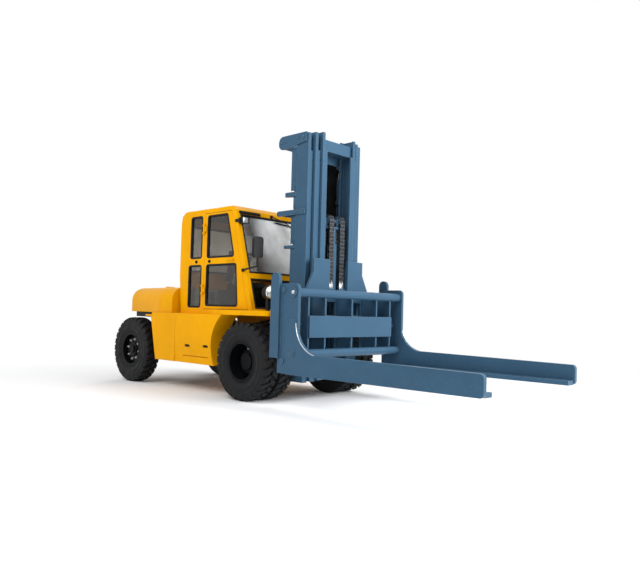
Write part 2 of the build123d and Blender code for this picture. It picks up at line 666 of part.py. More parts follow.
def counterweight():
    """Cast rear weight: tapered plan, rounded rear corners and top edge, engine bay and duct."""
    corner_x = TAIL_X + COUNTERWEIGHT_CORNER[0]
    corner_y = COUNTERWEIGHT_CORNER[1]
    bow_x = TAIL_X + COUNTERWEIGHT_BOW[0]
    bow_y = COUNTERWEIGHT_BOW[1]
    plan = outline(
        (COUNTERWEIGHT_FRONT_X, -COUNTERWEIGHT_Y),
        (corner_x, -corner_y),
        ((bow_x, -bow_y), (TAIL_X, -COUNTERWEIGHT_FLAT_Y)),
        (TAIL_X, COUNTERWEIGHT_FLAT_Y),
        ((bow_x, bow_y), (corner_x, corner_y)),
        (COUNTERWEIGHT_FRONT_X, COUNTERWEIGHT_Y),
    )
    piece = level_plate(plan, (COUNTERWEIGHT_BOTTOM_Z, COUNTERWEIGHT_TOP_Z))
    top_edges = piece.edges().filter_by_position(Axis.Z, COUNTERWEIGHT_TOP_Z, COUNTERWEIGHT_TOP_Z)
    rounded = [edge for edge in top_edges if edge.center().X < COUNTERWEIGHT_FRONT_X - 10]
    piece = fillet(rounded, COUNTERWEIGHT_EDGE_R)
    low_z = COUNTERWEIGHT_BOTTOM_Z - 1
    ledge_z = COUNTERWEIGHT_TOP_Z - HOOD_T
    bay_x = (BAY_REAR_X, COUNTERWEIGHT_FRONT_X + 1)
    piece -= block(bay_x, (-BAY_Y, BAY_Y), (low_z, ledge_z))
    piece -= block(bay_x, (-BAY_Y - 20, BAY_Y + 20), (ledge_z, COUNTERWEIGHT_TOP_Z + 1))
    piece -= block((TAIL_X - 1, BAY_REAR_X + 1), (-GRILLE_Y, GRILLE_Y), GRILLE_Z)
    for side in (-1, 1):
        y = sorted(side * edge for edge in TAIL_LAMP_Y)
        piece -= block((TAIL_X - 1, TAIL_X + TAIL_LAMP_DEPTH), y, TAIL_LAMP_Z)
    core_x = (TAIL_X + TOW_JAW_X, BAY_REAR_X + 90)
    core = block(core_x, (-CORE_Y, CORE_Y), (SPINE_Z[1], COUNTERWEIGHT_BOTTOM_Z + 5))
    tail = block((TAIL_X, SPINE_REAR_X - 10), (-TOW_BLOCK_Y, TOW_BLOCK_Y), TOW_BLOCK_Z)
    tail -= block((TAIL_X - 1, TAIL_X + TOW_JAW_X), (-TOW_BLOCK_Y - 1, TOW_BLOCK_Y + 1), TOW_JAW_Z)
    tail -= rod_z(TOW_BORE_R, TAIL_X + TOW_JAW_X / 2, 0, (TOW_BLOCK_Z[0] - 10, TOW_BLOCK_Z[1] + 10))
    hinge_x = BAY_REAR_X - DOOR_GAP
    hinge_z = COUNTERWEIGHT_TOP_Z + HINGE_KNUCKLE_R + 2
    for side in (-1, 1):
        y = sorted(side * edge for edge in HOOD_HINGE_Y)
        piece += rod_y(HINGE_PIN_R, hinge_x, hinge_z, y)
        for low in (y[0], y[1] - HOOD_KNUCKLE_L):
            knuckle_y = (low, low + HOOD_KNUCKLE_L)
            stand = block((hinge_x - 50, hinge_x), knuckle_y, (COUNTERWEIGHT_TOP_Z - 2, hinge_z))
            piece += stand + rod_y(HINGE_KNUCKLE_R, hinge_x, hinge_z, knuckle_y)
    return piece + core + tail


def rear_grille():
    """Radiator grille in the rear duct: a frame with level slats."""
    gap = 1.0
    x = (TAIL_X + 20, TAIL_X + 50)
    y = (-GRILLE_Y + gap, GRILLE_Y - gap)
    z = (GRILLE_Z[0], GRILLE_Z[1] - gap)
    open_y = (y[0] + GRILLE_RIM, y[1] - GRILLE_RIM)
    open_z = (z[0] + GRILLE_RIM, z[1] - GRILLE_RIM)
    grille = block(x, y, z) - block((x[0] - 1, x[1] + 1), open_y, open_z)
    pitch = (open_z[1] - open_z[0]) / GRILLE_SLATS
    depth, thickness = SLAT_SIZE
    for number in range(GRILLE_SLATS):
        place = Pos((x[0] + x[1]) / 2, 0, open_z[0] + (number + 0.5) * pitch) * Rot(0, SLAT_TURN_DEG, 0)
        grille += place * Box(depth, open_y[1] - open_y[0] + 10, thickness)
    return grille


def engine_cover():
    """Left cover between the cab's back and the counterweight."""
    x = (COUNTERWEIGHT_FRONT_X + 5, CAB_REAR_X - 15)
    cover = block(x, (BAY_Y, COUNTERWEIGHT_Y), (DECK_Z, COUNTERWEIGHT_TOP_Z))
    edge = cover.edges().filter_by(Axis.X).sort_by(Axis.Z)[-2:].sort_by(Axis.Y)[-1]
    cover = fillet(edge, COUNTERWEIGHT_EDGE_R)
    ledge_z = (COUNTERWEIGHT_TOP_Z - HOOD_T, COUNTERWEIGHT_TOP_Z + 1)
    ledge = block((x[0] - 1, x[1] + 1), (BAY_Y - 1, BAY_Y + 20), ledge_z)
    return cover - ledge


def hood_lid():
    """Engine hood, hinged at its rear edge."""
    y = BAY_Y + 20 - DOOR_GAP
    x = (BAY_REAR_X + DOOR_GAP, HOOD_FRONT_X)
    z = (COUNTERWEIGHT_TOP_Z - HOOD_T, COUNTERWEIGHT_TOP_Z)
    lid = block(x, (-y, y), z)
    lid = fillet(lid.edges().filter_by(Axis.X).group_by(Axis.Z)[-1], HOOD_EDGE_R)
    under_x = (x[0] + HOOD_RIM, x[1] - HOOD_RIM)
    lid -= block(under_x, (HOOD_RIM - BAY_Y, BAY_Y - HOOD_RIM), (z[0] - 1, z[1] - HOOD_SKIN_T))
    hinge_x = BAY_REAR_X - DOOR_GAP
    hinge_z = COUNTERWEIGHT_TOP_Z + HINGE_KNUCKLE_R + 2
    for side in (-1, 1):
        inner_y = HOOD_HINGE_Y[0] + HOOD_KNUCKLE_L + 1
        outer_y = HOOD_HINGE_Y[1] - HOOD_KNUCKLE_L - 1
        y = sorted((side * inner_y, side * outer_y))
        knuckle_piece = rod_y(HINGE_KNUCKLE_R, hinge_x, hinge_z, y)
        knuckle_piece += block((hinge_x, x[0] + HOOD_RIM), y, (hinge_z - HINGE_LEAF_T, hinge_z))
        knuckle_piece += block((x[0] + 20, x[0] + HOOD_RIM), y, (z[1] - 2, hinge_z))
        lid += knuckle_piece - rod_y(HINGE_PIN_R + PIN_GAP, hinge_x, hinge_z, (y[0] - 1, y[1] + 1))
    return lid


# Cab
def window(rear_x, front_low_x, front_high_x, z):
    """Window outline in X and Z with rounded corners and a raked front edge."""
    face = outline((rear_x, z[0]), (front_low_x, z[0]), (front_high_x, z[1]), (rear_x, z[1]))
    return fillet(face.vertices(), WINDOW_CORNER_R)


REAR_WINDOWS = (
    # rear x, front x at the bottom, front x at the top, heights
    (-1490, -1215, -1215, (1920, 2530)),
    (-1520, -1215, -1215, (1205, 1813)),
)
DOOR_WINDOWS = (
    # rear x, front x at the bottom, front x at the top, heights
    (-1085, -467, -631, (1920, 2525)),
    (-1090, -365, -418, (1230, 1816)),
)


def pane(face, y_mid):
    """Glass pane in a side wall, just smaller than its window."""
    inner = offset(face, -GLASS_GAP)
    return side_plate(inner, (y_mid - GLASS_T / 2, y_mid + GLASS_T / 2))


def door_face(grow=0.0):
    """Door outline in X and Z, grown by a running gap."""
    low, high = DOOR_Z
    return outline(
        (DOOR_REAR_X + DOOR_GAP - grow, low - grow),
        (rake_x(low - grow, DOOR_PILLAR) + grow, low - grow),
        (rake_x(high + grow, DOOR_PILLAR) + grow, high + grow),
        (DOOR_REAR_X + DOOR_GAP - grow, high + grow),
    )


HINGE_Y = CAB_Y + HINGE_KNUCKLE_R + 2
DOOR_HINGE_ZS = (1420.0, 2300.0)
DOOR_HINGE_H = 80.0


def cab_side():
    """Left cab wall with its door opening, rear windows and hinge pins."""
    face = outline(
        (CAB_REAR_X + WAIST_INSET, CAB_BASE_Z),
        (CAB_FRONT_BASE_X, CAB_BASE_Z),
        (rake_x(CAB_EAVE_Z), CAB_EAVE_Z),
        (CAB_REAR_X + EAVE_INSET, CAB_EAVE_Z),
        (CAB_REAR_X, CAB_SHOULDER_Z),
        (CAB_REAR_X, CAB_WAIST_Z),
    )
    wall_y = (CAB_Y - CAB_WALL, CAB_Y)
    wall = side_plate(face, wall_y)
    wall -= side_plate(door_face(DOOR_GAP), (wall_y[0] - 1, wall_y[1] + 1))
    for row in REAR_WINDOWS:
        wall -= side_plate(window(*row), (wall_y[0] - 1, wall_y[1] + 1))
    for z in DOOR_HINGE_ZS:
        wall += rod_z(HINGE_PIN_R, DOOR_REAR_X, HINGE_Y, (z - 30, z + DOOR_HINGE_H + 30))
        for low in (z - 30, z + DOOR_HINGE_H + PIN_GAP):
            high = low + 30 - PIN_GAP
            wall += rod_z(HINGE_KNUCKLE_R, DOOR_REAR_X, HINGE_Y, (low, high))
            wall += block((DOOR_REAR_X - 45, DOOR_REAR_X), (CAB_Y - 1, HINGE_Y), (low, high))
    return wall


def door():
    """Left cab door with two window openings, hinge knuckles and a pull handle."""
    wall_y = (CAB_Y - CAB_WALL, CAB_Y)
    leaf = side_plate(door_face(), wall_y)
    for row in DOOR_WINDOWS:
        leaf -= side_plate(window(*row), (wall_y[0] - 1, wall_y[1] + 1))
    for z in DOOR_HINGE_ZS:
        span = (z, z + DOOR_HINGE_H)
        hinge = rod_z(HINGE_KNUCKLE_R, DOOR_REAR_X, HINGE_Y, span)
        hinge += block((DOOR_REAR_X, DOOR_REAR_X + 50), (HINGE_Y - HINGE_LEAF_T, HINGE_Y), span)
        hinge += block((DOOR_REAR_X + 20, DOOR_REAR_X + 50), (CAB_Y - 1, HINGE_Y), span)
        leaf += hinge - rod_z(HINGE_PIN_R + PIN_GAP, DOOR_REAR_X, HINGE_Y, (span[0] - 1, span[1] + 1))
    grip_y = CAB_Y + HANDLE_REACH
    for x in HANDLE_X:
        leaf += rod_y(HANDLE_R, x, HANDLE_Z, (CAB_Y - 1, grip_y))
    return leaf + rod_x(HANDLE_R, grip_y, HANDLE_Z, (HANDLE_X[0] - HANDLE_R, HANDLE_X[1] + HANDLE_R))


def door_glass():
    """The left door's two panes."""
    y = CAB_Y - CAB_WALL / 2
    panes = [pane(window(*row), y) for row in DOOR_WINDOWS]
    return Compound([solid for one in panes for solid in one.solids()])


INNER_CAB_Y = CAB_Y - CAB_WALL
FRONT_WINDOWS = (
    # half width, heights
    (INNER_CAB_Y - 30, (1690, 2500)),
    (INNER_CAB_Y - 30, (1205, 1600)),
)


def raked_panel(half_y, z, inset, thickness):
    """Panel that follows the cab's raked front, between two heights."""
    face = outline(
        (rake_x(z[0], inset), z[0]),
        (rake_x(z[1], inset), z[1]),
        (rake_x(z[1], inset + thickness), z[1]),
        (rake_x(z[0], inset + thickness), z[0]),
    )
    return side_plate(face, (-half_y, half_y))


def cab_front():
    """Front frame with the windscreen opening, the crossbar and the lower window."""
    panel = raked_panel(INNER_CAB_Y, (CAB_BASE_Z, CAB_EAVE_Z), 0, CAB_WALL)
    for half_y, z in FRONT_WINDOWS:
        panel -= raked_panel(half_y, z, -1, CAB_WALL + 2)
    return panel


BACK_WINDOW = (INNER_CAB_Y - 120, (1750, 2430))


def cab_rear_wall():
    """Rear wall, bent at its waist and under the eave, with its window."""
    bends = (
        # distance in front of the rear face, height
        (WAIST_INSET, CAB_BASE_Z),
        (0, CAB_WAIST_Z),
        (0, CAB_SHOULDER_Z),
        (EAVE_INSET, CAB_EAVE_Z),
    )
    rear = [(CAB_REAR_X + inset, z) for inset, z in bends]
    front = [(x + CAB_WALL, z) for x, z in reversed(rear)]
    wall = side_plate(outline(*rear, *front), (-INNER_CAB_Y, INNER_CAB_Y))
    half_y, z = BACK_WINDOW
    return wall - block((CAB_REAR_X - 1, CAB_REAR_X + CAB_WALL + 60), (-half_y, half_y), z)


def cab_roof():
    """Roof with a sloped front edge and a rounded rear edge."""
    face = outline(
        (rake_x(CAB_EAVE_Z), CAB_EAVE_Z),
        (ROOF_FRONT_X, CAB_ROOF_Z),
        (ROOF_REAR_X, CAB_ROOF_Z),
        (ROOF_BOW, (CAB_REAR_X + EAVE_INSET, CAB_EAVE_Z)),
    )
    roof = side_plate(face, (-CAB_Y, CAB_Y))
    edges = roof.edges().filter_by_position(Axis.Z, CAB_ROOF_Z, CAB_ROOF_Z).filter_by(Axis.X)
    return fillet(edges, ROOF_EDGE_R)


def cab_glazing():
    """Windscreen, lower front glass, rear side panes and back window."""
    solids = []
    for half_y, z in FRONT_WINDOWS:
        clear = (z[0] + GLASS_GAP, z[1] - GLASS_GAP)
        solids += raked_panel(half_y - GLASS_GAP, clear, (CAB_WALL - GLASS_T) / 2, GLASS_T).solids()
    y = CAB_Y - CAB_WALL / 2
    for row in REAR_WINDOWS:
        glass = pane(window(*row), y)
        solids += [*glass.solids(), *other_side(glass).solids()]
    half_y, z = BACK_WINDOW
    x = CAB_REAR_X + CAB_WALL / 2
    clear = (z[0] + GLASS_GAP, z[1] - GLASS_GAP)
    back = block((x, x + GLASS_T), (-half_y + GLASS_GAP, half_y - GLASS_GAP), clear)
    return Compound([*solids, *back.solids()])


def cab_floor():
    """Cab floor plate with the hump that the seat stands on."""
    floor = block((CAB_REAR_X + WAIST_INSET, CAB_FRONT_BASE_X), (-CAB_Y, CAB_Y), (DECK_Z, CAB_BASE_Z))
    return floor + block(SEAT_BASE_X, (-SEAT_BASE_Y, SEAT_BASE_Y), (CAB_BASE_Z - 1, SEAT_BASE_Z))


def seat():
    """Driver's seat as a plain cushion and back."""
    low = SEAT_BASE_Z + PIN_GAP
    rear, front = SEAT_BASE_X
    face = outline(
        (front, low),
        (front, low + SEAT_T),
        (rear + 170, low + SEAT_T - 20),
        (rear + SEAT_BACK_T - 20, SEAT_TOP_Z),
        (rear - 20, SEAT_TOP_Z),
        (rear + 40, low),
    )
    return fillet(side_plate(face, (-SEAT_Y, SEAT_Y)).edges().filter_by(Axis.Y), SEAT_EDGE_R)


def steering_column():
    """Dash console with the steering column and hand wheel."""
    dash = block(DASH_X, (-DASH_Y, DASH_Y), (CAB_BASE_Z, DASH_TOP_Z))
    dash = fillet(dash.edges().filter_by(Axis.Y).group_by(Axis.Z)[-1], DASH_EDGE_R)
    column = rod_between(COLUMN_R, COLUMN_FOOT, COLUMN_TOP)
    plane = Plane(origin=COLUMN_TOP, z_dir=Vector(*COLUMN_TOP) - Vector(*COLUMN_FOOT))
    wheel = plane * Torus(HAND_WHEEL_R, HAND_WHEEL_GRIP_R)
    wheel += plane * Cylinder(COLUMN_R + 13, 40)
    for turn in (90, 210, 330):
        wheel += plane * Rot(0, 0, turn) * Pos(HAND_WHEEL_R / 2, 0, 0) * Box(HAND_WHEEL_R - 10, 24, 10)
    return dash + column + wheel


def mirror_unit():
    """Left mirror on its bent stem."""
    head = block(MIRROR_X, MIRROR_Y, MIRROR_Z)
    head = fillet(head.edges().filter_by(Axis.X), MIRROR_CORNER_R)
    foot = (rake_x(MIRROR_FOOT_Z, CAB_WALL + 5), CAB_Y + 20, MIRROR_FOOT_Z)
    stem = rod_y(STEM_R + 11, foot[0], foot[2], (CAB_Y, CAB_Y + 20))
    for bend in (foot, MIRROR_ELBOW):
        stem += Pos(*bend) * Sphere(STEM_R)
    stem += rod_between(STEM_R, foot, MIRROR_ELBOW)
    stem += rod_between(STEM_R, MIRROR_ELBOW, (*MIRROR_ELBOW[:2], MIRROR_Z[0] + 10))
    return head + stem


def lamps():
    """Left head lamp on its wing post, the work lamp at the screen pillar and the tail lamp."""
    x, y, z = HEAD_LAMP
    bowl = outline(
        # distance along the beam, radius
        (-HEAD_LAMP_R / 2, 0),
        (-HEAD_LAMP_R / 2, HEAD_LAMP_R / 3),
        ((-HEAD_LAMP_R / 4, HEAD_LAMP_R * 0.8), (HEAD_LAMP_R / 3, HEAD_LAMP_R)),
        (HEAD_LAMP_R, HEAD_LAMP_R),
        (HEAD_LAMP_R, HEAD_LAMP_R - 8),
        (HEAD_LAMP_R - 10, HEAD_LAMP_R - 12),
        (HEAD_LAMP_R - 10, 0),
    )
    head = Pos(x, y, z) * revolve(bowl, Axis.X)
    post = HEAD_LAMP_POST_W / 2
    head += block((x, x + 2 * post), (y - post, y + post), (FENDER_TOP_Z, z - HEAD_LAMP_R / 2))
    middle = (WORK_LAMP_Z[0] + WORK_LAMP_Z[1]) / 2
    front = rake_x(middle) + 20
    bracket_z = (middle - 20, middle + 20)
    work = block((front, front + WORK_LAMP_L), (CAB_Y - WORK_LAMP_W, CAB_Y), WORK_LAMP_Z)
    work = fillet(work.edges().filter_by(Axis.X), 14)
    work += block((front - 65, front + 40), (CAB_Y, CAB_Y + 12), bracket_z)
    work += block((front, front + 40), (CAB_Y - 20, CAB_Y + 12), bracket_z)
    tail_y = (TAIL_LAMP_Y[0] + PIN_GAP, TAIL_LAMP_Y[1] - PIN_GAP)
    tail_z = (TAIL_LAMP_Z[0] + PIN_GAP, TAIL_LAMP_Z[1] - PIN_GAP)
    tail = block((TAIL_X + 2, TAIL_X + TAIL_LAMP_DEPTH), tail_y, tail_z)
    return Compound([*head.solids(), *work.solids(), *tail.solids()])


# Mast
def rail(profile, z):
    """Left upright rail from a plan section of blocks, each an X range and a Y range."""
    upright = Part()
    for x, y in profile:
        upright += block(x, y, z)
    return upright


def lead_in(flange_x, flange_y, web_y, top_z):
    """Cut that narrows a front flange at the rail's top, so that the rollers go in from above."""
    x = (flange_x[0] - 1, flange_x[1] + 1)
    return block(x, (flange_y - 1, web_y - LEAD_IN_LIP), (top_z - LEAD_IN_Z, top_z + 1))


def outer_rails():
    """Channels that open inwards and are pinned to the frame at their foot."""
    front_x = (OUTER_X[1] - FLANGE_T, OUTER_X[1])
    profile = (
        (OUTER_X, OUTER_WEB_Y),
        ((OUTER_X[0], OUTER_X[0] + FLANGE_T), (OUTER_FLANGE_Y, OUTER_WEB_Y[0] + 1)),
        (front_x, (OUTER_FLANGE_Y, OUTER_WEB_Y[0] + 1)),
    )
    half = rail(profile, (OUTER_BOTTOM_Z, MAST_TOP_Z))
    return pair(half - lead_in(front_x, OUTER_FLANGE_Y, OUTER_WEB_Y[0], MAST_TOP_Z))


def roller(channel_x, y, z):
    """Guide roller that just clears both flanges of the channel it runs in."""
    middle = (channel_x[0] + channel_x[1]) / 2
    radius = (channel_x[1] - channel_x[0]) / 2 - PIN_GAP
    return rod_y(radius, middle, z, y)


def stage_rails(x, web_y, flange_y, tongue_y, z, channel_x):
    """Rails of a lifting stage: inward flanges, a tongue and a foot roller in the rail outside it."""
    rear_x = (x[0], x[0] + STAGE_FLANGE_T)
    front_x = (x[1] - STAGE_FLANGE_T, x[1])
    profile = (
        (x, web_y),
        (rear_x, (web_y[1] - 1, tongue_y)),
        (rear_x, (flange_y, web_y[0] + 1)),
        (front_x, (flange_y, web_y[0] + 1)),
    )
    half = rail(profile, z) - lead_in(front_x, flange_y, web_y[0], z[1])
    return pair(half + roller(channel_x, (web_y[1] - 1, tongue_y), z[0] + FOOT_ROLLER_Z))


def tie_wrap(z, drop, corner_r):
    """Rear plate behind the lift cylinders, between side plates that deepen to rounded rear ends."""
    front_x = OUTER_X[1] - TIE_FRONT_INSET
    low = z[0] - drop
    face = outline((front_x, z[0]), (front_x, z[1]), (TIE_REAR_X, z[1]), (TIE_REAR_X, low))
    face = fillet(face.vertices().group_by(Axis.X)[0], corner_r)
    side = side_plate(face, (OUTER_WEB_Y[1], OUTER_WEB_Y[1] + TIE_WRAP_T))
    rear_x = (TIE_REAR_X + TIE_REAR_T / 2, TIE_REAR_X + TIE_REAR_T * 1.5)
    inset = min(corner_r / 2, (z[1] - low) / 4)
    rear = block(rear_x, (-OUTER_WEB_Y[1], OUTER_WEB_Y[1]), (low + inset, z[1] - inset))
    return [*rear.solids(), *side.solids(), *other_side(side).solids()]


def outer_ties():
    """Foot beam with pivot lugs, tie wraps, cylinder clamps and the tilt cylinders' brackets."""
    foot_x = (PIVOT_X + 70, OUTER_X[0])
    foot = block(foot_x, (-OUTER_WEB_Y[1], OUTER_WEB_Y[1]), (OUTER_BOTTOM_Z, PIVOT_Z))
    for side in (-1, 1):
        y = sorted(side * edge for edge in PIVOT_LUG_Y)
        lug = rod_y(PIVOT_LUG_R, PIVOT_X, PIVOT_Z, y)
        lug += block((PIVOT_X, foot_x[0] + 5), y, (PIVOT_Z - PIVOT_LUG_R, PIVOT_Z))
        foot += lug
        foot -= rod_y(PIVOT_R + PIN_GAP, PIVOT_X, PIVOT_Z, (y[0] - 1, y[1] + 1))
    solids = [*foot.solids()]
    for row in OUTER_TIES:
        solids += tie_wrap(*row)
    bracket_face = outline(
        (TILT_HEAD_X - 55, TILT_HEAD_Z),
        ((TILT_HEAD_X, TILT_HEAD_Z - 55), (TILT_HEAD_X + 40, TILT_HEAD_Z - 65)),
        (OUTER_X[1] - 40, TILT_HEAD_Z - 110),
        (OUTER_X[1] - 40, TILT_HEAD_Z + 110),
        (TILT_HEAD_X + 40, TILT_HEAD_Z + 65),
        ((TILT_HEAD_X, TILT_HEAD_Z + 55), (TILT_HEAD_X - 55, TILT_HEAD_Z)),
    )
    bracket = side_plate(bracket_face, (OUTER_WEB_Y[1], OUTER_WEB_Y[1] + TIE_WRAP_T))
    bracket += rod_y(TILT_PIN_R, TILT_HEAD_X, TILT_HEAD_Z, (TILT_Y - 32, OUTER_WEB_Y[1] + TIE_WRAP_T))
    halves = [bracket]
    bend = CLAMP_EDGE * cos(pi / 4)
    reach_x = LIFT_X - CLAMP_REACH
    plan = outline(
        (OUTER_X[0], LIFT_Y - CLAMP_EDGE),
        (OUTER_X[0], OUTER_WEB_Y[1]),
        (reach_x + 30, OUTER_WEB_Y[1]),
        ((reach_x, OUTER_WEB_Y[1] - 30), (reach_x + 30, OUTER_WEB_Y[1] - 60)),
        (LIFT_X - CLAMP_EDGE, LIFT_Y),
        ((LIFT_X - bend, LIFT_Y - bend), (LIFT_X, LIFT_Y - CLAMP_EDGE)),
    )
    for z in CLAMP_ZS:
        clamp = level_plate(plan, z)
        clamp -= rod_z(LIFT_BARREL_R + PIN_GAP, LIFT_X, LIFT_Y, (z[0] - 1, z[1] + 1))
        halves.append(clamp)
    for half in halves:
        solids += [*half.solids(), *other_side(half).solids()]
    return Compound(solids)


def lift_barrels():
    """Main lift cylinders behind the outer rails, bored for their rods."""
    barrel = rod_z(LIFT_BARREL_R, LIFT_X, LIFT_Y, (PIVOT_Z, LIFT_BARREL_TOP_Z))
    bore_z = (LIFT_ROD_FOOT_Z - 20, LIFT_BARREL_TOP_Z + 1)
    return pair(barrel - rod_z(LIFT_ROD_R + PIN_GAP, LIFT_X, LIFT_Y, bore_z))


OUTER_CHANNEL_X = (OUTER_X[0] + FLANGE_T, OUTER_X[1] - FLANGE_T)
MIDDLE_CHANNEL_X = (MIDDLE_X[0] + STAGE_FLANGE_T, MIDDLE_X[1] - STAGE_FLANGE_T)
INNER_CHANNEL_X = (INNER_X[0] + STAGE_FLANGE_T, INNER_X[1] - STAGE_FLANGE_T)
MIDDLE_Z = (OUTER_BOTTOM_Z + STAGE_LIFT_Z, MAST_TOP_Z + STAGE_LIFT_Z)
INNER_Z = (OUTER_BOTTOM_Z + 2 * STAGE_LIFT_Z, MAST_TOP_Z + 2 * STAGE_LIFT_Z)
EAR_Z = (MAST_TOP_Z - 300.0, MAST_TOP_Z - 240.0)
TOP_BEAM_Z = (MAST_TOP_Z - 200.0, MAST_TOP_Z - 50.0)
FOOT_BEAM_H = 130.0
FOOT_PLATE_H = 70.0
LIFT_ROD_FOOT_Z = 800.0
FREE_ROD_FOOT_Z = 1450.0
FREE_BORE_Z = 1230.0


def middle_ties():
    """Cross beams of the middle stage, with ears for the main lift rods."""
    x = (MIDDLE_X[0] - FLANGE_T, MIDDLE_X[0])
    y = (3 - MIDDLE_WEB_Y[1], MIDDLE_WEB_Y[1] - 3)
    top = block(x, y, (EAR_Z[0], TOP_BEAM_Z[1]))
    half = block((LIFT_X - 40, OUTER_X[0] - 6), (LIFT_Y - 55, LIFT_Y + 55), EAR_Z)
    half += block((OUTER_X[0] - 10, x[0] + 5), (MIDDLE_FLANGE_Y, OUTER_FLANGE_Y - SLIDE_GAP), EAR_Z)
    top += half
    top += other_side(half)
    foot = block(x, y, (MIDDLE_Z[0], MIDDLE_Z[0] + FOOT_BEAM_H))
    return Compound([*top.solids(), *foot.solids()])


def lift_rods():
    """Rods of the main lift cylinders, seated under the middle stage's ears."""
    return pair(rod_z(LIFT_ROD_R, LIFT_X, LIFT_Y, (LIFT_ROD_FOOT_Z, EAR_Z[0])))


def inner_ties():
    """Top beam and foot plate of the inner stage."""
    x = (INNER_CHANNEL_X[0], INNER_CHANNEL_X[1] - 15)
    y = (-INNER_WEB_Y[0], INNER_WEB_Y[0])
    top = block(x, y, TOP_BEAM_Z)
    foot = block(x, y, (INNER_Z[0], INNER_Z[0] + FOOT_PLATE_H))
    return Compound([*top.solids(), *foot.solids()])


def free_lift_barrel():
    """Centre cylinder that lifts the crosshead, with the collar that holds the chains' rear ends."""
    foot_z = INNER_Z[0] + FOOT_PLATE_H
    barrel = rod_z(FREE_BARREL_R, FREE_X, 0, (foot_z, FREE_BARREL_TOP_Z))
    rear_x = SHEAVE_X - SHEAVE_R - CHAIN_T / 2
    collar_y = (-CHAIN_Y[1] - 8, CHAIN_Y[1] + 8)
    barrel += block((rear_x - 25, FREE_X), collar_y, (CHAIN_REAR_Z - 70, CHAIN_REAR_Z))
    return barrel - rod_z(FREE_ROD_R + PIN_GAP, FREE_X, 0, (FREE_BORE_Z, FREE_BARREL_TOP_Z + 1))


def crosshead():
    """Crosshead on the free lift rod, with two rimmed chain sheaves between cheeks."""
    half_y = CHAIN_Y[1] + SHEAVE_RIM_T + CHEEK_T
    bar_z = (SHEAVE_Z + CROSSHEAD_Z[0], SHEAVE_Z + CROSSHEAD_Z[1])
    piece = block((SHEAVE_X - CROSSHEAD_X, SHEAVE_X + CROSSHEAD_X), (-half_y, half_y), bar_z)
    piece += rod_z(FREE_ROD_R, FREE_X, 0, (FREE_ROD_FOOT_Z, bar_z[0] + 15))
    piece += rod_y(SHEAVE_PIN_R, SHEAVE_X, SHEAVE_Z, (-half_y, half_y))
    cheek_x = (SHEAVE_X - CHEEK_X, SHEAVE_X + CHEEK_X)
    cheek_z = (bar_z[1] - 10, SHEAVE_Z + SHEAVE_PIN_R + 5)
    for side in (-1, 1):
        rims = (CHAIN_Y[0] - SHEAVE_RIM_T, CHAIN_Y[1] + SHEAVE_RIM_T)
        piece += rod_y(SHEAVE_R, SHEAVE_X, SHEAVE_Z, sorted(side * edge for edge in rims))
        for rim_y in ((rims[0], CHAIN_Y[0]), (CHAIN_Y[1], rims[1])):
            piece += rod_y(SHEAVE_R + SHEAVE_RIM, SHEAVE_X, SHEAVE_Z, sorted(side * edge for edge in rim_y))
        for cheek_y in ((rims[0] - CHEEK_T, rims[0]), (rims[1], rims[1] + CHEEK_T)):
            piece += block(cheek_x, sorted(side * edge for edge in cheek_y), cheek_z)
    return piece


def chain_wraps():
    """The half turn of each leaf chain over its sheave."""
    inner_r = SHEAVE_R + PIN_GAP
    outer_r = SHEAVE_R + CHAIN_T
    y = (CHAIN_Y[0] + PIN_GAP, CHAIN_Y[1] - PIN_GAP)
    wrap = rod_y(outer_r, SHEAVE_X, SHEAVE_Z, y) - rod_y(inner_r, SHEAVE_X, SHEAVE_Z, (y[0] - 1, y[1] + 1))
    below = (SHEAVE_Z - outer_r - 1, SHEAVE_Z)
    return pair(wrap - block((SHEAVE_X - outer_r - 1, SHEAVE_X + outer_r + 1), (y[0] - 1, y[1] + 1), below))


def chain_run(x, z):
    """Pair of straight leaf chain runs: a core of pins and middle plates between laced links."""
    y = (CHAIN_Y[0] + PIN_GAP, CHAIN_Y[1] - PIN_GAP)
    core_x = (x - CHAIN_CORE_T / 2, x + CHAIN_CORE_T / 2)
    inset = (y[1] - y[0]) / 8
    core = block(core_x, (y[0] + inset, y[1] - inset), z)
    count = int((z[1] - z[0]) / CHAIN_PITCH)
    links = []
    for number in range(count):
        low = z[1] - (number + 1) * CHAIN_PITCH
        links.append(block((x - CHAIN_T / 2, x + CHAIN_T / 2), y, (low + 6, low + CHAIN_PITCH - 6)))
    return pair(core + links)


# Carriage and arms
def carriage_rib(y):
    """Rib that holds the two shafts from behind, bored for the arm positioner."""
    face = outline(
        (CARRIAGE_X[1], CARRIAGE_Z[0]),
        (SHAFT_X - RIB_SADDLE, LOWER_SHAFT_Z - RIB_SADDLE),
        (SHAFT_X, LOWER_SHAFT_Z),
        (RIB_FRONT_X, LOWER_SHAFT_Z + RIB_BEND_Z),
        (RIB_FRONT_X, UPPER_SHAFT_Z - RIB_BEND_Z),
        (SHAFT_X, UPPER_SHAFT_Z),
        (SHAFT_X - RIB_SADDLE, UPPER_SHAFT_Z + RIB_SADDLE),
        (CARRIAGE_X[1], UPPER_SHAFT_Z + 20),
    )
    rib = side_plate(face, (y - RIB_T / 2, y + RIB_T / 2))
    span = (y - RIB_T, y + RIB_T)
    rib -= rod_y(UPPER_SHAFT_R + PIN_GAP, SHAFT_X, UPPER_SHAFT_Z, span)
    rib -= rod_y(POSITIONER_ROD_R + PIN_GAP, POSITIONER_X, POSITIONER_Z, span)
    return rib - rod_y(LOWER_SHAFT_R + PIN_GAP, SHAFT_X, LOWER_SHAFT_Z, span)


def carriage_ribs():
    """Ribs across the carriage, each seated on the back plate."""
    stations = sorted({side * y for y in RIB_YS for side in (-1, 1)})
    return Compound([solid for y in stations for solid in carriage_rib(y).solids()])


